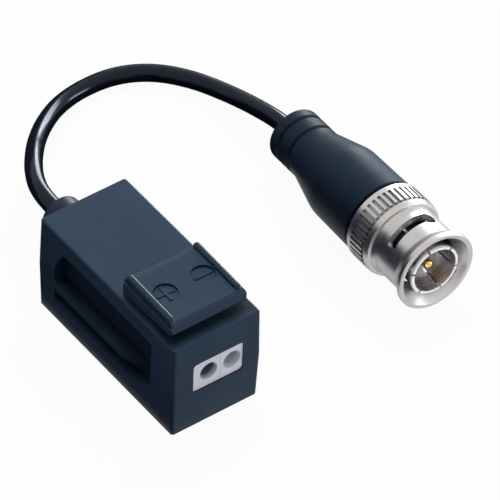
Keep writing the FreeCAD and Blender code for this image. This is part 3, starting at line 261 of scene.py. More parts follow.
@dataclass(frozen=True)
class MouldedPlastic(Finish):
    """Satin or glossy moulding with a fine grain and a cloudy tone.

    Args:
        shade: colour of the cloudy patches.
        grain: depth of the fine grain in metres.
        specular: specular level.
        seam_z: height of a parting line in metres, or a negative value for none.
        soft: share of light that goes under the surface.
        tint: colour of the sheen at grazing angles.
        coat: strength of a clear gloss over it.
    """

    shade: Colour = (0.02, 0.02, 0.02)
    grain: float = 0.00001
    specular: float = 0.4
    seam_z: float = -1.0
    soft: float = 0.0
    tint: Colour = (1.0, 1.0, 1.0)
    coat: float = 0.0

    def sockets(self, graph: Graph) -> Dict[str, Any]:
        """Cloudy colour, grain bump and the parting line."""
        here = graph.place()
        cloud = graph.noise(here, 90.0, 2.0)
        colour = graph.blend(graph.ramp(cloud, 0.35, 0.65), self.colour, self.shade)
        rough = graph.ramp(graph.noise(here, 700.0, 3.0), 0.3, 0.7, self.roughness * 0.88, self.roughness * 1.12)
        normal = graph.bump(graph.noise(here, 5200.0, 2.0), self.grain)
        if self.seam_z >= 0:
            height = graph.add("SeparateXYZ", {0: here}).outputs[2]
            away = graph.maths("ABSOLUTE", graph.maths("SUBTRACT", height, self.seam_z))
            line = graph.ramp(away, 0.00003, 0.0001, 1.0, 0.0)
            colour = graph.blend(graph.maths("MULTIPLY", line, 0.75), colour, (0.001, 0.001, 0.002))
            normal = graph.bump(graph.maths("SUBTRACT", 1.0, line), 0.00006, 0.8, normal)
        found = {"Base Color": colour, "Roughness": rough, "Normal": normal, "Specular IOR Level": self.specular,
                 "Specular Tint": (*self.tint, 1.0), "Coat Weight": self.coat, "Coat Roughness": 0.12}
        if self.soft > 0:
            found.update({"Subsurface Weight": self.soft, "Subsurface Radius": (0.0006, 0.0007, 0.0009),
                          "Subsurface Scale": 1.0})
        return found


def fade(graph: Graph, share: bpy.types.NodeSocket, first: Any, second: Any) -> bpy.types.NodeSocket:
    """Goes from one value to another.

    Args:
        graph: graph that the node goes to.
        share: share of the second value.
        first: number or output socket.
        second: number or output socket.

    Returns:
        The value between them.
    """
    return graph.add("Mix", {0: share, 2: first, 3: second}, data_type="FLOAT").outputs[0]


@dataclass(frozen=True)
class BeadedPlastic(MouldedPlastic):
    """Lever plastic, rubbed shiny on the crests of its two beads.

    Args:
        plane: height of the lever's top at the row origin in metres, and how much it climbs along Y.
        rise: height above that where the rubbed crest begins and where it is full.
        rubbed: roughness of the crest.
    """

    plane: Tuple[float, float] = (0.021723, 0.0267)
    rise: Tuple[float, float] = (0.00012, 0.0003)
    rubbed: float = 0.16

    def sockets(self, graph: Graph) -> Dict[str, Any]:
        """Adds the rubbed crests.

        Args:
            graph: the material's graph.

        Returns:
            Input name to value or output socket.
        """
        found = super().sockets(graph)
        axes = graph.add("SeparateXYZ", {0: graph.place()}).outputs
        level = graph.maths("MULTIPLY_ADD", axes[1], self.plane[1], self.plane[0])
        crest = graph.ramp(graph.maths("SUBTRACT", axes[2], level), *self.rise)
        found["Roughness"] = fade(graph, crest, found["Roughness"], self.rubbed)
        return found


@dataclass(frozen=True)
class GroovedPlastic(MouldedPlastic):
    """Housing plastic with painted shade down in the side grooves and a painted shadow of the lever on the top before
    it, and rubbed shiny along the top edges.

    Args:
        rim_x: distance from the middle where the grooves begin, in metres.
        floor_x: the same at their floors.
        ends_y: front and back end of the grooves.
        ends_z: lowest and highest edge of the grooves.
        margin: width over which the shade fades out at an end.
        painted_groove_shade: share of the colour that is lost at the floors.
        edge: distance from the middle and height beyond which the top edges are rubbed.
        rubbed: roughness there.
        strip_y: front edge and back edge of the strip under and before the lever, which gets a painted shadow.
        strip: share of the colour that the painted shadow takes away there.
    """

    strip_y: Tuple[float, float] = (-0.0174, -0.013)
    strip: float = 0.45
    rim_x: float = 0.0082
    floor_x: float = 0.0068
    ends_y: Tuple[float, float] = (-0.012, 0.0136)
    ends_z: Tuple[float, float] = (0.0042, 0.0168)
    margin: float = 0.0002
    painted_groove_shade: float = 0.65
    edge: Tuple[float, float] = (0.00772, 0.0179)
    rubbed: float = 0.14

    def sockets(self, graph: Graph) -> Dict[str, Any]:
        """Adds the painted shade of the grooves, the painted shadow of the lever and the rubbed edges.

        Args:
            graph: the material's graph.

        Returns:
            Input name to value or output socket.
        """
        found = super().sockets(graph)
        axes = graph.add("SeparateXYZ", {0: graph.place()}).outputs
        across = graph.maths("ABSOLUTE", axes[0])
        worn = graph.maths("MULTIPLY", graph.ramp(across, self.edge[0], self.edge[0] + 0.0001),
                           graph.ramp(axes[2], self.edge[1], self.edge[1] + 0.0001))
        found["Roughness"] = fade(graph, worn, found["Roughness"], self.rubbed)
        # Painted shade: the colour darkens down into the side grooves, where shade falls.
        shade = graph.ramp(across, self.rim_x, self.floor_x)
        for axis, (low, high) in ((axes[1], self.ends_y), (axes[2], self.ends_z)):
            shade = graph.maths("MULTIPLY", shade, graph.ramp(axis, low - self.margin, low + self.margin))
            shade = graph.maths("MULTIPLY", shade, graph.ramp(axis, high + self.margin, high - self.margin))
        shade = graph.maths("MULTIPLY", shade, self.painted_groove_shade)
        # Painted shadow of the lever on the housing's top, under and just before the lever.
        front, back = self.strip_y
        under = graph.maths("MULTIPLY", graph.ramp(axes[1], front - 0.0003, front + 0.0005),
                            graph.ramp(axes[1], back + 0.0005, back))
        under = graph.maths("MULTIPLY", under, graph.ramp(axes[2], 0.0181, 0.01828, 0.0, self.strip))
        shade = graph.maths("MAXIMUM", shade, under)
        found["Base Color"] = graph.blend(shade, found["Base Color"], (0.001, 0.001, 0.002))
        return found


@dataclass(frozen=True)
class TerminalPlastic(MouldedPlastic):
    """White moulding with painted shade in its wire entries, deeper in the left one, and a fine line between its two
    poles.

    Args:
        mouth_y: where the painted shade in the entries begins, in metres.
        deep_y: where they are darkest.
        painted_shade_colour: colour there.
        split_x: place of the line between the poles.
        right_share: share of the painted shade in the right entry.
    """

    mouth_y: float = -0.01765
    deep_y: float = -0.0167
    painted_shade_colour: Colour = (0.10, 0.10, 0.13)
    split_x: float = 0.0008
    right_share: float = 0.55

    def sockets(self, graph: Graph) -> Dict[str, Any]:
        """Adds the painted shade of the entries and the line.

        Args:
            graph: the material's graph.

        Returns:
            Input name to value or output socket.
        """
        found = super().sockets(graph)
        axes = graph.add("SeparateXYZ", {0: graph.place()}).outputs
        # Painted shade down the wire entries, stronger in the left entry than in the right one.
        side = graph.ramp(axes[0], self.split_x - 0.0002, self.split_x + 0.0002, 1.0, self.right_share)
        shade = graph.maths("MULTIPLY", graph.ramp(axes[1], self.mouth_y, self.deep_y), side)
        away = graph.maths("ABSOLUTE", graph.maths("SUBTRACT", axes[0], self.split_x))
        line = graph.ramp(away, 0.00002, 0.00008, 0.4, 0.0)
        colour = graph.blend(shade, found["Base Color"], self.painted_shade_colour)
        found["Base Color"] = graph.blend(line, colour, (0.20, 0.21, 0.24))
        return found


@dataclass(frozen=True)
class PlatedMetal(Finish):
    """Plated metal with fine turning lines round an axis and faint tarnish.

    Args:
        tarnish: colour of the tarnished patches.
        lines: depth of the turning lines in metres.
        rotation: rows are the piece's axes, the turning axis last.
        origin: a point on the axis in metres.
        edge_tint: colour of reflections at grazing angles.
    """

    edge_tint: Colour = (0.55, 0.56, 0.60)
    tarnish: Colour = (0.5, 0.48, 0.46)
    lines: float = 0.0000015
    rotation: Tuple[Point, Point, Point] = ((1, 0, 0), (0, 1, 0), (0, 0, 1))
    origin: Point = (0, 0, 0)

    def sockets(self, graph: Graph) -> Dict[str, Any]:
        """Turning lines as bump, and tarnish in colour and roughness."""
        here = graph.place(Matrix(self.rotation), self.origin)
        along = graph.add("VectorMath", {0: here, 1: (0.02, 0.02, 1.0)}, operation="MULTIPLY").outputs[0]
        turned = graph.noise(along, 9000.0, 2.0)
        patch = graph.noise(here, 260.0, 4.0, 0.6)
        colour = graph.blend(graph.ramp(patch, 0.42, 0.72), self.colour, self.tarnish)
        rough = graph.ramp(graph.maths("ADD", patch, turned), 0.6, 1.4, self.roughness * 0.85, self.roughness * 1.2)
        normal = graph.bump(turned, self.lines)
        return {"Base Color": colour, "Metallic": 1.0, "Roughness": rough, "Normal": normal,
                "Specular Tint": (*self.edge_tint, 1.0)}


@dataclass(frozen=True)
class KnurledPlate(PlatedMetal):
    """Plated metal of the coupling sleeve, with painted shade in the roots of its knurl and on its inner wall.

    Args:
        knurl_r: radius of the knurl's lands and of its roots, in metres.
        knurl_t: stations of the knurl's ends.
        bore_r: radius where the inner wall begins to darken, and where it is darkest.
        bore_t: station up to which the inner wall is dark, and where that ends.
        dark: colour of the painted shade in the roots and on the inner wall.
        root_share: share of that colour in the roots.
    """

    knurl_r: Tuple[float, float] = (0.00696, 0.00682)
    knurl_t: Tuple[float, float] = (0.0009, 0.0043)
    bore_r: Tuple[float, float] = (0.0056, 0.0051)
    bore_t: Tuple[float, float] = (0.0116, 0.0124)
    dark: Colour = (0.10, 0.10, 0.11)
    root_share: float = 0.6

    def sockets(self, graph: Graph) -> Dict[str, Any]:
        """Adds the painted shade in the roots and on the inner wall.

        Args:
            graph: the material's graph.

        Returns:
            Input name to value or output socket.
        """
        found = super().sockets(graph)
        axes = graph.add("SeparateXYZ", {0: graph.place(Matrix(self.rotation), self.origin)}).outputs
        squares = [graph.maths("MULTIPLY", axes[i], axes[i]) for i in (0, 1)]
        radius = graph.maths("SQRT", graph.maths("ADD", *squares))
        low, high = self.knurl_t
        # Painted shade in the knurl's roots and on the sleeve's inner wall, where shade falls.
        painted_root_shade = graph.maths("MULTIPLY", graph.ramp(axes[2], low - 0.00005, low), graph.ramp(axes[2], high + 0.00005, high))
        painted_root_shade = graph.maths("MULTIPLY", painted_root_shade, graph.ramp(radius, *self.knurl_r, 0.0, self.root_share))
        painted_bore_shade = graph.maths("MULTIPLY", graph.ramp(radius, *self.bore_r), graph.ramp(axes[2], *self.bore_t, 0.85, 0.0))
        found["Base Color"] = graph.blend(graph.maths("MAXIMUM", painted_root_shade, painted_bore_shade), found["Base Color"], self.dark)
        return found


@dataclass(frozen=True)
class MouldedRubber(Finish):
    """Matt rubber with a fine pebble and soft sheen.

    Args:
        shade: colour of the cloudy patches.
        specular: specular level.
        pebble: depth of the pebble in metres.
        tint: colour of the sheen at grazing angles.
    """

    shade: Colour = (0.01, 0.01, 0.012)
    specular: float = 0.3
    pebble: float = 0.000012
    tint: Colour = (0.75, 0.88, 1.0)

    def sockets(self, graph: Graph) -> Dict[str, Any]:
        """Cloudy colour and two sizes of pebble."""
        here = graph.place()
        cloud = graph.noise(here, 130.0, 3.0)
        colour = graph.blend(graph.ramp(cloud, 0.35, 0.65), self.colour, self.shade)
        fine = graph.bump(graph.noise(here, 7000.0, 2.0), self.pebble)
        normal = graph.bump(graph.noise(here, 900.0, 2.0), self.pebble * 2, 0.5, fine)
        rough = graph.ramp(cloud, 0.3, 0.7, self.roughness * 0.9, self.roughness * 1.1)
        return {"Base Color": colour, "Roughness": rough, "Normal": normal, "Specular IOR Level": self.specular,
                "Specular Tint": (*self.tint, 1.0)}


@dataclass(frozen=True)
class Laminate(Finish):
    """Solder mask over glass cloth.

    Args:
        thread: colour of the cloth that shows through.
    """

    thread: Colour = (0.08, 0.3, 0.14)

    def sockets(self, graph: Graph) -> Dict[str, Any]:
        """Two crossed waves of cloth under the mask."""
        here = graph.place()
        weave = []
        for axis in ("X", "Y"):
            weave.append(graph.add("TexWave", {"Vector": here, "Scale": 700.0, "Distortion": 0.3},
                                   bands_direction=axis).outputs[1])
        cloth = graph.maths("MULTIPLY", weave[0], weave[1])
        return {"Base Color": graph.blend(cloth, self.colour, self.thread),
                "Normal": graph.bump(cloth, 0.00001), "Coat Weight": 0.4}


@dataclass(frozen=True)
class Grained(Finish):
    """Sintered or glazed body with specks.

    Args:
        speck: colour of the specks.
        scale: specks per metre.
        metallic: metallic share.
    """

    speck: Colour = (0.1, 0.1, 0.1)
    scale: float = 3000.0
    metallic: float = 0.0

    def sockets(self, graph: Graph) -> Dict[str, Any]:
        """Specks in colour and bump."""
        speck = graph.noise(graph.place(), self.scale, 2.0)
        return {"Base Color": graph.blend(graph.ramp(speck, 0.5, 0.75), self.colour, self.speck),
                "Normal": graph.bump(speck, 0.000008), "Metallic": self.metallic}


# ---------------------------------------------------------------- plug frame


@dataclass(frozen=True)
class PlugFrame:
    """Where the plug lies: its origin is the centre of the coupling sleeve's back edge, Z towards the mouth.

    Args:
        x: place across the housing, in millimetres.
        y: place along the housing.
        yaw: turn about the vertical, in degrees.
        pitch: climb towards the mouth, in degrees.
        ring_r: radius of the sleeve's ring, which rests on the ground.
    """

    x: float = 42.82
    y: float = -3.87
    yaw: float = -2.14
    pitch: float = 2.51136
    ring_r: float = 7.2

    def axes(self) -> np.ndarray:
        """Axes of the plug.

        Returns:
            3x3 array whose rows are the plug's X, Y and Z.
        """
        yaw, pitch = math.radians(self.yaw), math.radians(self.pitch)
        forward = np.array([math.sin(yaw) * math.cos(pitch), -math.cos(yaw) * math.cos(pitch), math.sin(pitch)])
        across = np.cross([0.0, 0.0, 1.0], forward)
        across /= np.linalg.norm(across)
        return np.array([across, np.cross(forward, across), forward])

    def origin(self) -> np.ndarray:
        """Origin of the plug.

        Returns:
            The point in millimetres.
        """
        return np.array([self.x, self.y, self.ring_r * math.cos(math.radians(self.pitch))])

    def place(self, points: np.ndarray) -> np.ndarray:
        """Carries points from the plug's frame.

        Args:
            points: points in millimetres, in rows.

        Returns:
            The points in the row frame, in millimetres.
        """
        return self.origin() + points @ self.axes()

    def rotation(self) -> Tuple[Point, Point, Point]:
        """Axes as plain tuples, for a finish.

        Returns:
            The rows of axes().
        """
        return tuple(tuple(float(v) for v in row) for row in self.axes())

    def origin_m(self) -> Point:
        """Origin in metres, for a finish.

        Returns:
            The point.
        """
        return tuple(float(v) * MM for v in self.origin())


PLUG = PlugFrame()


# ---------------------------------------------------------------- surfaces


def mesh_piece(name: str, points: np.ndarray, faces: np.ndarray, sharp_deg: float = 32.0) -> bpy.types.Object:
    """Mesh object from arrays, smooth apart from its sharp edges.

    Args:
        name: name of the piece.
        points: vertices in millimetres, in rows.
        faces: vertex numbers of each face, in rows; a triangle repeats its last number.
        sharp_deg: angle above which an edge is sharp.

    Returns:
        The object.
    """
    mesh = bpy.data.meshes.new(name)
    rows = [row[:3] if row[2] == row[3] else row for row in faces.tolist()]
    mesh.from_pydata((points * MM).tolist(), [], rows)
    mesh.update()
    mesh.shade_smooth()
    mesh.set_sharp_from_angle(angle=math.radians(sharp_deg))
    made = bpy.data.objects.new(name, mesh)
    bpy.context.scene.collection.objects.link(made)
    return made


def rounded(points: Sequence[ProfilePoint], steps: int = 5) -> np.ndarray:
    """Profile with its corners rounded.

    Formula: at a corner of radius R between two legs that meet at an angle g, the arc starts R / tan(g / 2) along
    each leg, and its points turn evenly about the centre that lies R / sin(g / 2) from the corner on the bisector.

    Args:
        points: (radius, station) or (radius, station, corner radius) points in millimetres.
        steps: segments of each arc.

    Returns:
        The profile's points, in rows of (radius, station).
    """
    found: List[np.ndarray] = []
    count = len(points)
    for i, point in enumerate(points):
        here = np.array(point[:2], float)
        radius = point[2] if len(point) > 2 else 0.0
        if radius <= 0:
            found.append(here)
            continue
        back = np.array(points[i - 1][:2]) - here
        ahead = np.array(points[(i + 1) % count][:2]) - here
        back, ahead = back / np.linalg.norm(back), ahead / np.linalg.norm(ahead)
        half = math.acos(float(np.clip(back @ ahead, -1, 1))) / 2
        middle = (back + ahead) / np.linalg.norm(back + ahead)
        centre = here + middle * radius / math.sin(half)
        first = here + back * radius / math.tan(half) - centre
        last = here + ahead * radius / math.tan(half) - centre
        turn = math.atan2(first[0] * last[1] - first[1] * last[0], first @ last)
        for angle in np.linspace(0, turn, steps + 1):
            c, s = math.cos(angle), math.sin(angle)
            found.append(centre + np.array([c * first[0] - s * first[1], s * first[0] + c * first[1]]))
    return np.array(found)


@dataclass(frozen=True)
class Turned:
    """Surface turned about an axis, closed at its poles.

    Args:
        name: name of the piece.
        profile: points of (radius, station) in millimetres.
        columns: segments round the axis.
        ring: whether the profile closes on itself rather than on the axis.
    """

    name: str
    profile: np.ndarray
    columns: int = 96
    ring: bool = False

    def grid(self) -> Tuple[np.ndarray, np.ndarray]:
        """Points and faces in the piece's own frame.

        Formula: a profile point (r, t) at column angle f lies at (r cos f, r sin f, t). The profile's signed area
        gives the side that is outside.

        Returns:
            The points in millimetres and the faces.
        """
        profile = self.profile
        area = np.sum(profile[:, 0] * np.roll(profile[:, 1], -1) - np.roll(profile[:, 0], -1) * profile[:, 1])
        if area < 0:
            profile = profile[::-1]
        rows = len(profile)
        angle = np.linspace(0, 2 * math.pi, self.columns, endpoint=False)
        points = np.stack([np.outer(profile[:, 0], np.cos(angle)), np.outer(profile[:, 0], np.sin(angle)),
                           np.outer(profile[:, 1], np.ones(self.columns))], axis=2)
        number = np.arange(rows * self.columns).reshape(rows, self.columns)
        for row in np.flatnonzero(profile[:, 0] < 1e-9):
            number[row, :] = number[row, 0]
        below = number if self.ring else number[:-1]
        above = np.roll(number, -1, axis=0) if self.ring else number[1:]
        faces = np.stack([below, np.roll(below, -1, axis=1), np.roll(above, -1, axis=1), above], axis=2)
        faces = faces.reshape(-1, 4)
        start = faces[:, 0] == faces[:, 1]
        faces[start] = np.stack([faces[start, 0], faces[start, 2], faces[start, 3], faces[start, 3]], axis=1)
        used, compact = np.unique(faces, return_inverse=True)
        return points.reshape(-1, 3)[used], compact.reshape(faces.shape)

    def on_plug(self) -> bpy.types.Object:
        """Builds it on the plug's axis.

        Returns:
            The object.
        """
        points, faces = self.grid()
        return mesh_piece(self.name, PLUG.place(points), faces)

    def on_housing(self, x: float, z: float) -> bpy.types.Object:
        """Builds it about an axis along the housing.

        Args:
            x: place of the axis across the housing, in millimetres.
            z: its height.

        Returns:
            The object.
        """
        points, faces = self.grid()
        turned = np.stack([points[:, 0] + x, points[:, 2], -points[:, 1] + z], axis=1)
        return mesh_piece(self.name, turned, faces)


def slab(name: str, outline: Sequence[Tuple[float, float]], base_z: float, height: float, edge: float
         ) -> bpy.types.Object:
    """Low raised figure with a chamfered upper edge.

    Formula: three rings of the outline, the last drawn in by the chamfer along the corner's bisector, with a face
    at either end.

    Args:
        name: name of the piece.
        outline: corners in millimetres, counterclockwise, with right-angled corners.
        base_z: height of its base.
        height: how far it stands up.
        edge: width of the chamfer.

    Returns:
        The object.
    """
    ring = np.array(outline, float)
    count = len(ring)
    ahead = np.roll(ring, -1, axis=0) - ring
    ahead /= np.linalg.norm(ahead, axis=1)[:, None]
    back = np.roll(ahead, 1, axis=0)
    inward = (np.stack([-ahead[:, 1], ahead[:, 0]], axis=1) + np.stack([-back[:, 1], back[:, 0]], axis=1))
    levels = [(ring, base_z), (ring, base_z + height - edge), (ring + inward * edge, base_z + height)]
    points = np.concatenate([np.column_stack([r, np.full(count, z)]) for r, z in levels])
    faces: List[List[int]] = [list(range(count))[::-1], list(range(2 * count, 3 * count))]
    for level in range(2):
        for i in range(count):
            j = (i + 1) % count
            faces.append([level * count + i, level * count + j, (level + 1) * count + j, (level + 1) * count + i])
    mesh = bpy.data.meshes.new(name)
    mesh.from_pydata((points * MM).tolist(), [], faces)
    mesh.update()
    made = bpy.data.objects.new(name, mesh)
    bpy.context.scene.collection.objects.link(made)
    return made


def dress(made: bpy.types.Object, finish: Finish, body: Optional[str] = None,
          replaced: Sequence[str] = ()) -> bpy.types.Object:
    """Gives a piece its finish and its body.

    Args:
        made: the piece.
        finish: its finish.
        body: CAD body that it rides on; a CAD node has one already.
        replaced: CAD nodes that it stands for.

    Returns:
        The piece.
    """
    found = bpy.data.materials.get(finish.name) or finish.material()
    made.data.materials.clear()
    made.data.materials.append(found)
    if body is not None:
        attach(made, body)
    if replaced:
        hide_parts(*replaced)
    LOG.info("%s: %s", made.name, finish.name)
    return made


# ---------------------------------------------------------------- finishes

BLACK_HOUSING = GroovedPlastic("housing_black", (0.021, 0.043, 0.074), 0.44, shade=(0.025, 0.050, 0.083),
                               specular=0.14, seam_z=0.009, tint=(0.7, 0.85, 1.0), grain=0.000006)
BLACK_LEVER = BeadedPlastic("lever_black", (0.014, 0.030, 0.056), 0.33, shade=(0.017, 0.035, 0.062),
                            specular=0.26, tint=(0.7, 0.85, 1.0), grain=0.000003)
WHITE_TERMINAL = MouldedPlastic("terminal_white", (0.80, 0.84, 0.92), 0.32, shade=(0.74, 0.79, 0.89),
                                specular=0.5, grain=0.000004, soft=0.25)
WHITE_BLOCK = TerminalPlastic("block_white", (0.93, 0.96, 1.0), 0.32, shade=(0.88, 0.92, 0.98),
                              specular=0.5, grain=0.000004, soft=0.1)
NATURAL_BUSH = MouldedPlastic("bush_white", (0.62, 0.62, 0.64), 0.4, shade=(0.55, 0.55, 0.58), grain=0.000004)
BLACK_BOOT = MouldedRubber("boot_black", (0.010, 0.020, 0.037), 0.48, shade=(0.014, 0.025, 0.044), specular=0.11)
BLACK_GLAND = MouldedPlastic("gland_black", (0.014, 0.020, 0.036), 0.42, shade=(0.018, 0.025, 0.042),
                             specular=0.2, grain=0.000002, tint=(0.8, 0.85, 1.0))
BLACK_JACKET = MouldedPlastic("jacket_black", (0.007, 0.010, 0.018), 0.15, shade=(0.009, 0.012, 0.021),
                              specular=0.19, grain=0.000001, tint=(0.75, 0.88, 1.0))
RED_GASKET = MouldedRubber("gasket_red", (0.16, 0.012, 0.015), 0.55, shade=(0.10, 0.008, 0.010))
NICKEL = PlatedMetal("nickel_plate", (0.56, 0.54, 0.52), 0.30, tarnish=(0.50, 0.48, 0.46), lines=0.0000008,
                     rotation=PLUG.rotation(), origin=PLUG.origin_m())
SLEEVE_NICKEL = KnurledPlate("sleeve_nickel", (0.57, 0.55, 0.54), 0.34, tarnish=(0.51, 0.49, 0.475), lines=0.0000008,
                             rotation=PLUG.rotation(), origin=PLUG.origin_m())
CONTACT_NICKEL = PlatedMetal("contact_nickel", (0.90, 0.88, 0.90), 0.26, tarnish=(0.82, 0.80, 0.82), lines=0.0000004,
                             rotation=PLUG.rotation(), origin=PLUG.origin_m())
GOLD = PlatedMetal("gold_flash", (0.92, 0.64, 0.24), 0.22, tarnish=(0.74, 0.46, 0.16), lines=0.000001,
                   rotation=PLUG.rotation(), origin=PLUG.origin_m())
SPRING = PlatedMetal("spring_steel", (0.50, 0.50, 0.52), 0.34, tarnish=(0.42, 0.38, 0.34), lines=0.000002,
                     rotation=((1, 0, 0), (0, 0, 1), (0, 1, 0)))
TINNED = PlatedMetal("tinned_bar", (0.66, 0.66, 0.66), 0.42, tarnish=(0.55, 0.54, 0.52), lines=0.000001)
LAMINATE = Laminate("board_green", (0.02, 0.12, 0.045), 0.35)
FERRITE = Grained("ferrite_grey", (0.045, 0.045, 0.05), 0.62, speck=(0.09, 0.09, 0.095))
ENAMEL = Grained("enamelled_copper", (0.58, 0.24, 0.10), 0.3, speck=(0.42, 0.15, 0.06), scale=1500.0, metallic=0.9)
GLAZE = Grained("glazed_ceramic", (0.66, 0.56, 0.42), 0.25, speck=(0.56, 0.46, 0.34), scale=1200.0)


# ---------------------------------------------------------------- camera and studio


@dataclass(frozen=True)
class MatchedCamera:
    """Camera fitted to the photograph.

    Args:
        focal_px: focal length in pixels of a square picture.
        size_px: side of that picture.
        azimuth: degrees round the object.
        elevation: degrees above the horizon.
        roll: degrees about the line of sight.
        target: point that it looks at, in millimetres.
        distance: distance to it, in millimetres.
    """

    focal_px: float = 6035.2
    size_px: float = 500.0
    azimuth: float = -38.101
    elevation: float = 44.428
    roll: float = 2.521
    target: Point = (20.377, 1.214, 9.0)
    distance: float = 943.48

    def build(self) -> bpy.types.Object:
        """Places the camera and makes it the scene's.

        Returns:
            The camera.
        """
        az, el, roll = (math.radians(v) for v in (self.azimuth, self.elevation, self.roll))
        back = Vector((math.sin(az) * math.cos(el), -math.cos(az) * math.cos(el), math.sin(el)))
        level = Vector((math.cos(az), math.sin(az), 0.0))
        up = back.cross(level)
        right = math.cos(roll) * level + math.sin(roll) * up
        top = -math.sin(roll) * level + math.cos(roll) * up
        data = bpy.data.cameras.new("camera")
        data.sensor_width = 36.0
        data.lens = self.focal_px * data.sensor_width / self.size_px
        data.clip_start, data.clip_end = 0.05, 50.0
        made = bpy.data.objects.new("camera", data)
        bpy.context.scene.collection.objects.link(made)
        turn = Matrix((right, top, back)).transposed()
        made.matrix_world = Matrix.Translation((Vector(self.target) + back * self.distance) * MM) @ turn.to_4x4()
        bpy.context.scene.camera = made
        return made


@dataclass(frozen=True)
class SoftLamp:
    """Soft lamp of a given width and height.

    Args:
        name: name of the lamp.
        place: where it hangs, in metres from the object.
        size: its width and height in metres.
        power: its power in watts.
        colour: its colour.
        mirrored: whether reflections show it.
        lighting: whether it lights matt surfaces.
    """

    name: str
    place: Point
    size: Tuple[float, float]
    power: float
    colour: Colour = (1.0, 1.0, 1.0)
    mirrored: bool = False
    lighting: bool = True

    def build(self, target: Vector) -> bpy.types.Object:
        """Hangs the lamp and turns it to the object.

        Args:
            target: point that it faces, in metres.

        Returns:
            The lamp.
        """
        data = bpy.data.lights.new(self.name, "AREA")
        data.shape = "RECTANGLE"
        data.size, data.size_y = self.size
        data.energy, data.color = self.power, self.colour
        made = bpy.data.objects.new(self.name, data)
        bpy.context.scene.collection.objects.link(made)
        spot = target + Vector(self.place)
        facing = (spot - target).to_track_quat("Z", "Y")
        made.matrix_world = Matrix.Translation(spot) @ facing.to_matrix().to_4x4()
        made.visible_glossy = self.mirrored
        made.visible_diffuse = self.lighting
        return made


@dataclass(frozen=True)
class PaintedLightCard:
    """Glowing card unseen by the camera, whose colour paints shade and light on what faces it.

    Args:
        name: name of the card.
        corners: its corners in millimetres, counterclockwise from its dark side.
        colour: its glow, seen in reflections and falling as painted shade on what faces it, painted light if pale.
    """

    name: str
    corners: Tuple[Point, Point, Point, Point]
    colour: Colour = (0.010, 0.013, 0.026)

    def build(self) -> bpy.types.Object:
        """Places the card, clear from behind.

        Returns:
            The card.
        """
        mesh = bpy.data.meshes.new(self.name)
        mesh.from_pydata((np.array(self.corners) * MM).tolist(), [], [(0, 1, 2, 3)])
        made = bpy.data.objects.new(self.name, mesh)
        bpy.context.scene.collection.objects.link(made)
        paint = bpy.data.materials.new(self.name)
        paint.use_nodes = True
        graph = Graph(paint.node_tree)
        behind = graph.add("NewGeometry").outputs["Backfacing"]
        glow = graph.add("Emission", {"Color": (*self.colour, 1.0), "Strength": 1.0})
        clear = graph.add("BsdfTransparent")
        mixed = graph.add("MixShader", {0: behind, 1: glow.outputs[0], 2: clear.outputs[0]})
        graph.add("OutputMaterial", {"Surface": mixed.outputs[0]})
        mesh.materials.append(paint)
        # Painted shade and light only: the camera doesn't see the card and it casts no shadow.
        made.visible_camera = False
        made.visible_shadow = False
        made.visible_transmission = False
        return made


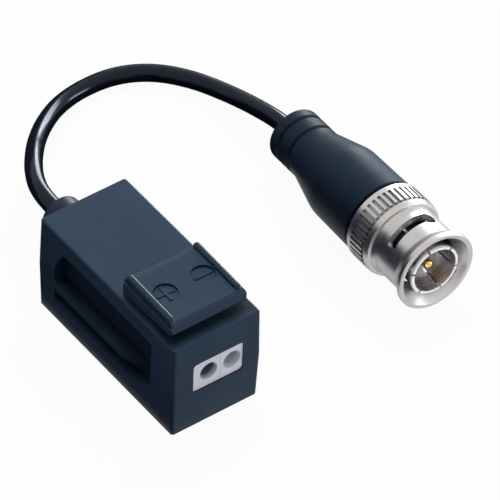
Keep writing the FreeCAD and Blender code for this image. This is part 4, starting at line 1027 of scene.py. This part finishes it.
@dataclass(frozen=True)
class Studio:
    """Plain pale floor, white surroundings, soft lamps and cards that paint shade and light on the object.

    Args:
        target: middle of the object, in metres.
        floor_half: half the side of the floor, in metres.
        clean: share of plain white in the floor's look near the object.
        ambient: light of the surroundings on the object.
    """

    target: Point = (0.0204, 0.0012, 0.009)
    floor_half: float = 4.0
    clean: float = 0.95
    ambient: Colour = (0.16, 0.17, 0.19)
    lamps: Tuple[SoftLamp, ...] = (
        SoftLamp("key", (0.35, 0.30, 0.62), (0.45, 0.45), 3.3, (1.0, 0.985, 0.965)),
        SoftLamp("top", (-0.05, 0.36, 0.70), (0.6, 0.5), 1.75, (0.96, 0.97, 1.0)),
        SoftLamp("fill", (0.25, -0.60, 0.35), (0.5, 0.5), 1.2, (1.0, 0.965, 0.99)),
        SoftLamp("rim", (0.75, 0.50, 0.24), (0.5, 0.4), 7.5, (0.88, 0.94, 1.0), True, False),
        SoftLamp("side", (0.80, -0.50, 0.22), (0.5, 0.25), 6.0, (0.80, 0.90, 1.0), True, False),
    )
    cards: Tuple[PaintedLightCard, ...] = (
        # Dark cards paint shade on the left side, between housing and plug and under and behind the lead; card_front
        # glows pale and paints light on the front face.
        PaintedLightCard("card_near", ((-12, -32, 0.1), (-8.6, -32, 0.1), (-8.6, 30, 0.1), (-12, 30, 0.1))),
        PaintedLightCard("card_left", ((-60, -32, 0.1), (-12, -32, 0.1), (-12, 30, 0.1), (-60, 30, 0.1)), (0.085, 0.05, 0.10)),
        PaintedLightCard("card_middle", ((28, -26, 0.1), (28, 16, 0.1), (28, 16, 20), (28, -26, 20)), (0.026, 0.032, 0.052)),
        PaintedLightCard("card_back", ((-60, 20, 0.05), (90, 20, 0.05), (90, 130, 0.05), (-60, 130, 0.05))),
        PaintedLightCard("card_far", ((-90, 130, 0), (72, 130, 0), (72, 130, 40), (-90, 130, 40))),
        PaintedLightCard("card_front", ((-10, -52, 0.1), (26, -52, 0.1), (26, -19, 0.1), (-10, -19, 0.1)), (0.58, 0.55, 0.62)),
    )

    @staticmethod
    def seen(graph: Graph) -> bpy.types.NodeSocket:
        """Share of rays that show the background: camera, glossy and transmission rays.

        Args:
            graph: graph that the nodes go to.

        Returns:
            1 for those rays, or 0.
        """
        path = graph.add("LightPath")
        shiny = graph.maths("MAXIMUM", path.outputs["Is Glossy Ray"], path.outputs["Is Transmission Ray"])
        return graph.maths("MAXIMUM", path.outputs["Is Camera Ray"], shiny)

    def build_world(self) -> None:
        """White surroundings for what shows them, and a softer light for the rest."""
        world = bpy.data.worlds.new("studio")
        world.use_nodes = True
        bpy.context.scene.world = world
        graph = Graph(world.node_tree)
        colour = graph.blend(self.seen(graph), self.ambient, (1.0, 1.0, 1.0))
        ground = graph.add("Background", {"Color": colour, "Strength": 1.0})
        graph.add("OutputWorld", {"Surface": ground.outputs[0]})

    def build_floor(self) -> bpy.types.Object:
        """Pale floor that keeps the object's shadow and turns plain white away from it.

        Returns:
            The floor.
        """
        half = self.floor_half
        mesh = bpy.data.meshes.new("floor")
        mesh.from_pydata([(-half, -half, 0), (half, -half, 0), (half, half, 0), (-half, half, 0)], [], [(0, 1, 2, 3)])
        floor = bpy.data.objects.new("floor", mesh)
        bpy.context.scene.collection.objects.link(floor)
        paint = bpy.data.materials.new("floor_white")
        paint.use_nodes = True
        graph = Graph(paint.node_tree)
        here = graph.add("VectorMath", {0: graph.place(), 1: self.target}, operation="DISTANCE").outputs["Value"]
        share = graph.ramp(here, 0.06, 0.25, self.clean, 1.0)
        plain = graph.maths("MULTIPLY", self.seen(graph), share)
        matt = graph.add("BsdfDiffuse", {"Color": (0.86, 0.86, 0.87, 1.0)})
        white = graph.add("Emission", {"Color": (1.0, 1.0, 1.0, 1.0), "Strength": 1.0})
        mixed = graph.add("MixShader", {0: plain, 1: matt.outputs[0], 2: white.outputs[0]})
        graph.add("OutputMaterial", {"Surface": mixed.outputs[0]})
        mesh.materials.append(paint)
        return floor

    def build(self) -> None:
        """Builds the floor, the surroundings, the lamps and the cards that paint shade and light."""
        target = Vector(self.target)
        self.build_world()
        self.build_floor()
        for lamp in self.lamps:
            lamp.build(target)
        for card in self.cards:
            card.build()


# ---------------------------------------------------------------- sub-assemblies


@dataclass(frozen=True)
class Lead:
    """Short round cable from the gland to the boot.

    Args:
        radius: its radius in millimetres.
        start: where it leaves the gland.
        exit_run: straight run at either end.
        route: points between the straight runs.
        tail_t: station of the boot's tail on the plug's axis.
        length: its real length; not used.
    """

    radius: float = 1.5
    start: Point = (0.0, 24.35, 10.0)
    exit_run: float = 3.0
    route: Tuple[Point, ...] = (
        (0.7, 31.2, 9.8), (2.8, 35.2, 9.1), (5.7, 39.2, 7.7), (9.1, 43.3, 5.7), (13.3, 47.4, 3.8),
        (18.5, 51.0, 2.35), (24.6, 52.8, 1.6), (31.1, 52.4, 1.55), (36.6, 49.5, 1.6), (40.5, 44.2, 2.0),
        (42.7, 37.8, 2.8), (43.6, 31.3, 4.3),
    )
    tail_t: float = -25.4
    length: float = 83.8

    def points(self) -> np.ndarray:
        """Points of the cable's line.

        Returns:
            The points in millimetres, in rows.
        """
        forward = PLUG.axes()[2]
        tail = PLUG.origin() + forward * self.tail_t
        first = np.array(self.start)
        return np.vstack([first, first + [0, self.exit_run, 0], self.route, tail - forward * self.exit_run, tail])

    def build(self) -> bpy.types.Object:
        """Builds the cable as a spline with a round section.

        Returns:
            The curve.
        """
        route = self.points() * MM
        data = bpy.data.curves.new("lead_cable", "CURVE")
        data.dimensions = "3D"
        data.bevel_depth = self.radius * MM
        data.bevel_resolution = 10
        data.resolution_u = data.render_resolution_u = 24
        data.use_fill_caps = True
        line = data.splines.new("NURBS")
        line.points.add(len(route) - 1)
        line.points.foreach_set("co", np.column_stack([route, np.ones(len(route))]).astype(np.float32).ravel())
        line.order_u = 3
        line.use_endpoint_u = True
        made = bpy.data.objects.new("lead_cable", data)
        bpy.context.scene.collection.objects.link(made)
        return dress(made, BLACK_JACKET, "housing", ("lead",))


@dataclass(frozen=True)
class Gland:
    """Round stub at the back of the housing.

    Args:
        wall_y: outer face of the housing's back wall, in millimetres.
        flange_y: front of the flange behind the wall.
        tip_y: its outer end.
        axis_z: height of its axis.
    """

    wall_y: float = 18.0
    flange_y: float = 15.15
    tip_y: float = 24.35
    axis_z: float = 10.0

    def build(self) -> bpy.types.Object:
        """Builds the stub.

        Returns:
            The object.
        """
        profile = rounded([(0, self.flange_y), (3.4, self.flange_y, 0.3), (3.4, self.flange_y + 1.2),
                           (2.3, self.flange_y + 1.2), (2.3, self.wall_y), (3.6, self.wall_y, 0.12),
                           (3.45, self.tip_y, 0.9), (0, self.tip_y)], 6)
        made = Turned("gland", profile, 72).on_housing(0.0, self.axis_z)
        return dress(made, BLACK_GLAND, "housing", ("cable_gland",))


@dataclass(frozen=True)
class Boot:
    """Moulded boot with two ring grooves.

    Args:
        front: station and radius of its front face, in millimetres.
        barrel: station and radius where the barrel ends.
        neck: station and radius where the tail begins.
        blends: radii of the blends at the neck and at the barrel's end.
        tail_t: station of the tail's end.
        tail_edge: radius of the tail's end.
        grooves: stations of the ring grooves.
        groove_depth: depth of a groove.
    """

    front: Tuple[float, float] = (-0.55, 6.9)
    barrel: Tuple[float, float] = (-10.95, 6.72)
    neck: Tuple[float, float] = (-18.3, 4.75)
    blends: Tuple[float, float] = (4.0, 8.0)
    tail_t: float = -25.4
    tail_edge: float = 0.9
    grooves: Tuple[float, ...] = (-22.8, -19.8)
    groove_depth: float = 0.35

    def profile(self) -> np.ndarray:
        """Side outline from the tail to the front.

        Formula: straight runs between the tail, the neck, the barrel's end and the front, with tangent arcs at their
        corners.

        Returns:
            Rows of (radius, station).
        """
        tail: List[ProfilePoint] = [(0, self.tail_t), (self.neck[1], self.tail_t, self.tail_edge)]
        for groove in self.grooves:
            floor = self.neck[1] - self.groove_depth
            tail += [(self.neck[1], groove - 0.42, 0.1), (floor, groove - 0.22, 0.08), (floor, groove + 0.22, 0.08),
                     (self.neck[1], groove + 0.42, 0.1)]
        body = [(self.neck[1], self.neck[0], self.blends[0]), (self.barrel[1], self.barrel[0], self.blends[1]),
                (self.front[1], self.front[0], 0.3), (4.0, self.front[0]), (4.0, -4.6), (0, -4.6)]
        return rounded(tail + body, 8)

    def build(self) -> bpy.types.Object:
        """Builds the boot.

        Returns:
            The object.
        """
        made = Turned("boot", self.profile(), 128).on_plug()
        return dress(made, BLACK_BOOT, "housing", ("plug_boot",))


@dataclass(frozen=True)
class PlugFront:
    """Gasket, bush and pin inside the coupling sleeve.

    Args:
        gasket: inner radius, outer radius, back and front station, in millimetres.
        bush_face: front station of the bush.
        bush_back: its back station.
        pin_r: radius of the pin.
        pin_tip: station of its tip.
    """

    gasket: Tuple[float, float, float, float] = (4.2, 4.8, 4.6, 6.1)
    bush_face: float = 5.4
    bush_back: float = -4.15
    pin_r: float = 0.675
    pin_tip: float = 12.8

    def build(self) -> List[bpy.types.Object]:
        """Builds the three pieces.

        Returns:
            The objects.
        """
        inner, outer, low, high = self.gasket
        seal = Turned("seal", rounded([(inner, low, 0.08), (outer, low, 0.08), (outer, high, 0.2), (inner, high, 0.2)]),
                      96, True).on_plug()
        pin_hole = self.pin_r + 0.05
        pot = self.bush_back + 1.2
        bush = Turned("bush", rounded([(0.95, self.bush_back), (2.95, self.bush_back), (2.95, self.bush_face, 0.08),
                                       (pin_hole, self.bush_face, 0.05), (pin_hole, pot), (0.95, pot)]), 64,
                      True).on_plug()
        pin = Turned("pin", rounded([(0, pot - 2.5), (0.9, pot - 2.5), (0.9, pot), (self.pin_r, pot),
                                     (self.pin_r, self.pin_tip, self.pin_r * 0.9), (0, self.pin_tip)], 8), 40).on_plug()
        return [dress(seal, RED_GASKET, "housing", ("gasket",)),
                dress(bush, NATURAL_BUSH, "housing", ("insulator",)),
                dress(pin, GOLD, "housing", ("centre_pin",))]


@dataclass(frozen=True)
class LeverSigns:
    """Plus and minus that stand in the lever's dimples.

    Args:
        centre_x: distance of each dimple from the middle, in millimetres.
        centre_y: place of the dimples along the housing.
        floor_z: height of their floors.
        arm: length of an arm.
        width: width of an arm.
        height: how far a sign stands up.
    """

    centre_x: float = 3.54
    centre_y: float = -9.0
    floor_z: float = 21.173
    arm: float = 3.3
    width: float = 0.5
    height: float = 0.2

    def outline(self, crossed: bool, x: float) -> List[Tuple[float, float]]:
        """Corners of a sign.

        Args:
            crossed: plus rather than minus.
            x: its centre across the housing.

        Returns:
            The corners, counterclockwise.
        """
        a, w, y = self.arm / 2, self.width / 2, self.centre_y
        if not crossed:
            return [(x - a, y - w), (x + a, y - w), (x + a, y + w), (x - a, y + w)]
        return [(x - a, y - w), (x - w, y - w), (x - w, y - a), (x + w, y - a), (x + w, y - w), (x + a, y - w),
                (x + a, y + w), (x + w, y + w), (x + w, y + a), (x - w, y + a), (x - w, y + w), (x - a, y + w)]

    def build(self) -> List[bpy.types.Object]:
        """Builds both signs.

        Returns:
            The objects.
        """
        made = []
        for name, crossed, x in (("sign_plus", True, -self.centre_x), ("sign_minus", False, self.centre_x)):
            sign = slab(name, self.outline(crossed, x), self.floor_z - 0.05, self.height + 0.05, 0.05)
            made.append(dress(sign, BLACK_LEVER, "lever"))
        return made


@dataclass(frozen=True)
class GivingSprings:
    """Clamp springs and wave washer, as smooth merged copies of their CAD nodes.

    Args:
        clamps: node, new piece, its plunger and the plunger's joint and travel in millimetres.
        wave: the same for the wave washer, without a plunger.
        foot_z: height of the clamp springs' fixed ends, in millimetres; not used.
        flange_t: station of the flange that the wave washer leans on.
        wave_height: height of the wave washer; not used.
        spare: factor on the travel, so that nothing touches; not used.
    """

    clamps: Tuple[Tuple[str, str, str, str, float], ...] = (
        ("clamp_spring_plus", "leaf_plus", "plunger_plus", "button_plus_slide", 0.48),
        ("clamp_spring_minus", "leaf_minus", "plunger_minus", "button_minus_slide", 0.6),
    )
    wave: Tuple[str, str, str, float] = ("wave_washer", "wave_ring", "sleeve_float", 0.5)
    foot_z: float = 6.1
    flange_t: float = 2.95
    wave_height: float = 0.8
    spare: float = 1.03

    @staticmethod
    def merged(node: str, name: str) -> bpy.types.Object:
        """Copies a CAD node's mesh and joins its doubled vertices.

        Args:
            node: the CAD node.
            name: name of the copy.

        Returns:
            The copy.
        """
        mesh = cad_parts[node].data.copy()
        mesh.name = name
        work = bmesh.new()
        work.from_mesh(mesh)
        bmesh.ops.remove_doubles(work, verts=work.verts, dist=1e-7)
        work.to_mesh(mesh)
        work.free()
        mesh.shade_smooth()
        mesh.set_sharp_from_angle(angle=math.radians(32))
        made = bpy.data.objects.new(name, mesh)
        bpy.context.scene.collection.objects.link(made)
        return dress(made, SPRING, "housing", (node,))

    def build(self) -> bpy.types.Object:
        """Builds the springs.

        Returns:
            The wave washer.
        """
        for node, name, plunger, joint, travel in self.clamps:
            leaf = self.merged(node, name)
            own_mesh(leaf)
        node, name, joint, travel = self.wave
        ring = self.merged(node, name)
        forward = PLUG.axes()[2]
        anchor = (PLUG.origin() + forward * self.flange_t) * MM
        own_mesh(ring)
        return ring


@dataclass(frozen=True)
class CadFinishes:
    """Finish and slot of each CAD node that shows its own surface.

    Args:
        table: node to finish and slot.
    """

    table: Tuple[Tuple[str, Finish, Slot], ...] = (
        ("lower_shell", BLACK_HOUSING, Slot.HOUSING), ("upper_shell", BLACK_HOUSING, Slot.HOUSING),
        ("press_lever", BLACK_LEVER, Slot.LEVER), ("terminal_block", WHITE_BLOCK, Slot.TERMINAL),
        ("plunger_plus", WHITE_TERMINAL, Slot.TERMINAL), ("plunger_minus", WHITE_TERMINAL, Slot.TERMINAL),
        ("contact_bar_plus", TINNED, Slot.TINNED), ("contact_bar_minus", TINNED, Slot.TINNED),
        ("circuit_board", LAMINATE, Slot.BOARD), ("balun_core", FERRITE, Slot.FERRITE),
        ("balun_winding", ENAMEL, Slot.COPPER), ("surge_arrester", GLAZE, Slot.CERAMIC),
        ("capacitor_plus", GLAZE, Slot.CERAMIC), ("capacitor_minus", GLAZE, Slot.CERAMIC),
        ("resistor_plus", FERRITE, Slot.FERRITE), ("resistor_minus", FERRITE, Slot.FERRITE),
        ("lead_core", NATURAL_BUSH, Slot.TERMINAL), ("lead_braid", ENAMEL, Slot.COPPER),
        ("plug_body", NICKEL, Slot.NICKEL), ("crimp_ferrule", NICKEL, Slot.NICKEL),
        ("retaining_ring", SPRING, Slot.SPRING), ("thrust_washer", NICKEL, Slot.NICKEL),
        ("outer_contact", CONTACT_NICKEL, Slot.NICKEL),
        ("coupling_sleeve", SLEEVE_NICKEL, Slot.NICKEL),
    )

    def build(self) -> None:
        """Dresses the nodes."""
        for node, finish, slot in self.table:
            dress(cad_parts[node], finish)


def main() -> None:
    """Builds the scene."""
    logging.basicConfig(level=logging.INFO, format="%(message)s")
    bpy.context.scene.view_settings.view_transform = "Standard"
    MatchedCamera().build()
    lead = Lead()
    cable = lead.build()
    Studio().build()
    stub = Gland().build()
    boot = Boot().build()
    front = PlugFront().build()
    LeverSigns().build()
    ring = GivingSprings().build()
    CadFinishes().build()


if __name__ == "__main__":
    main()
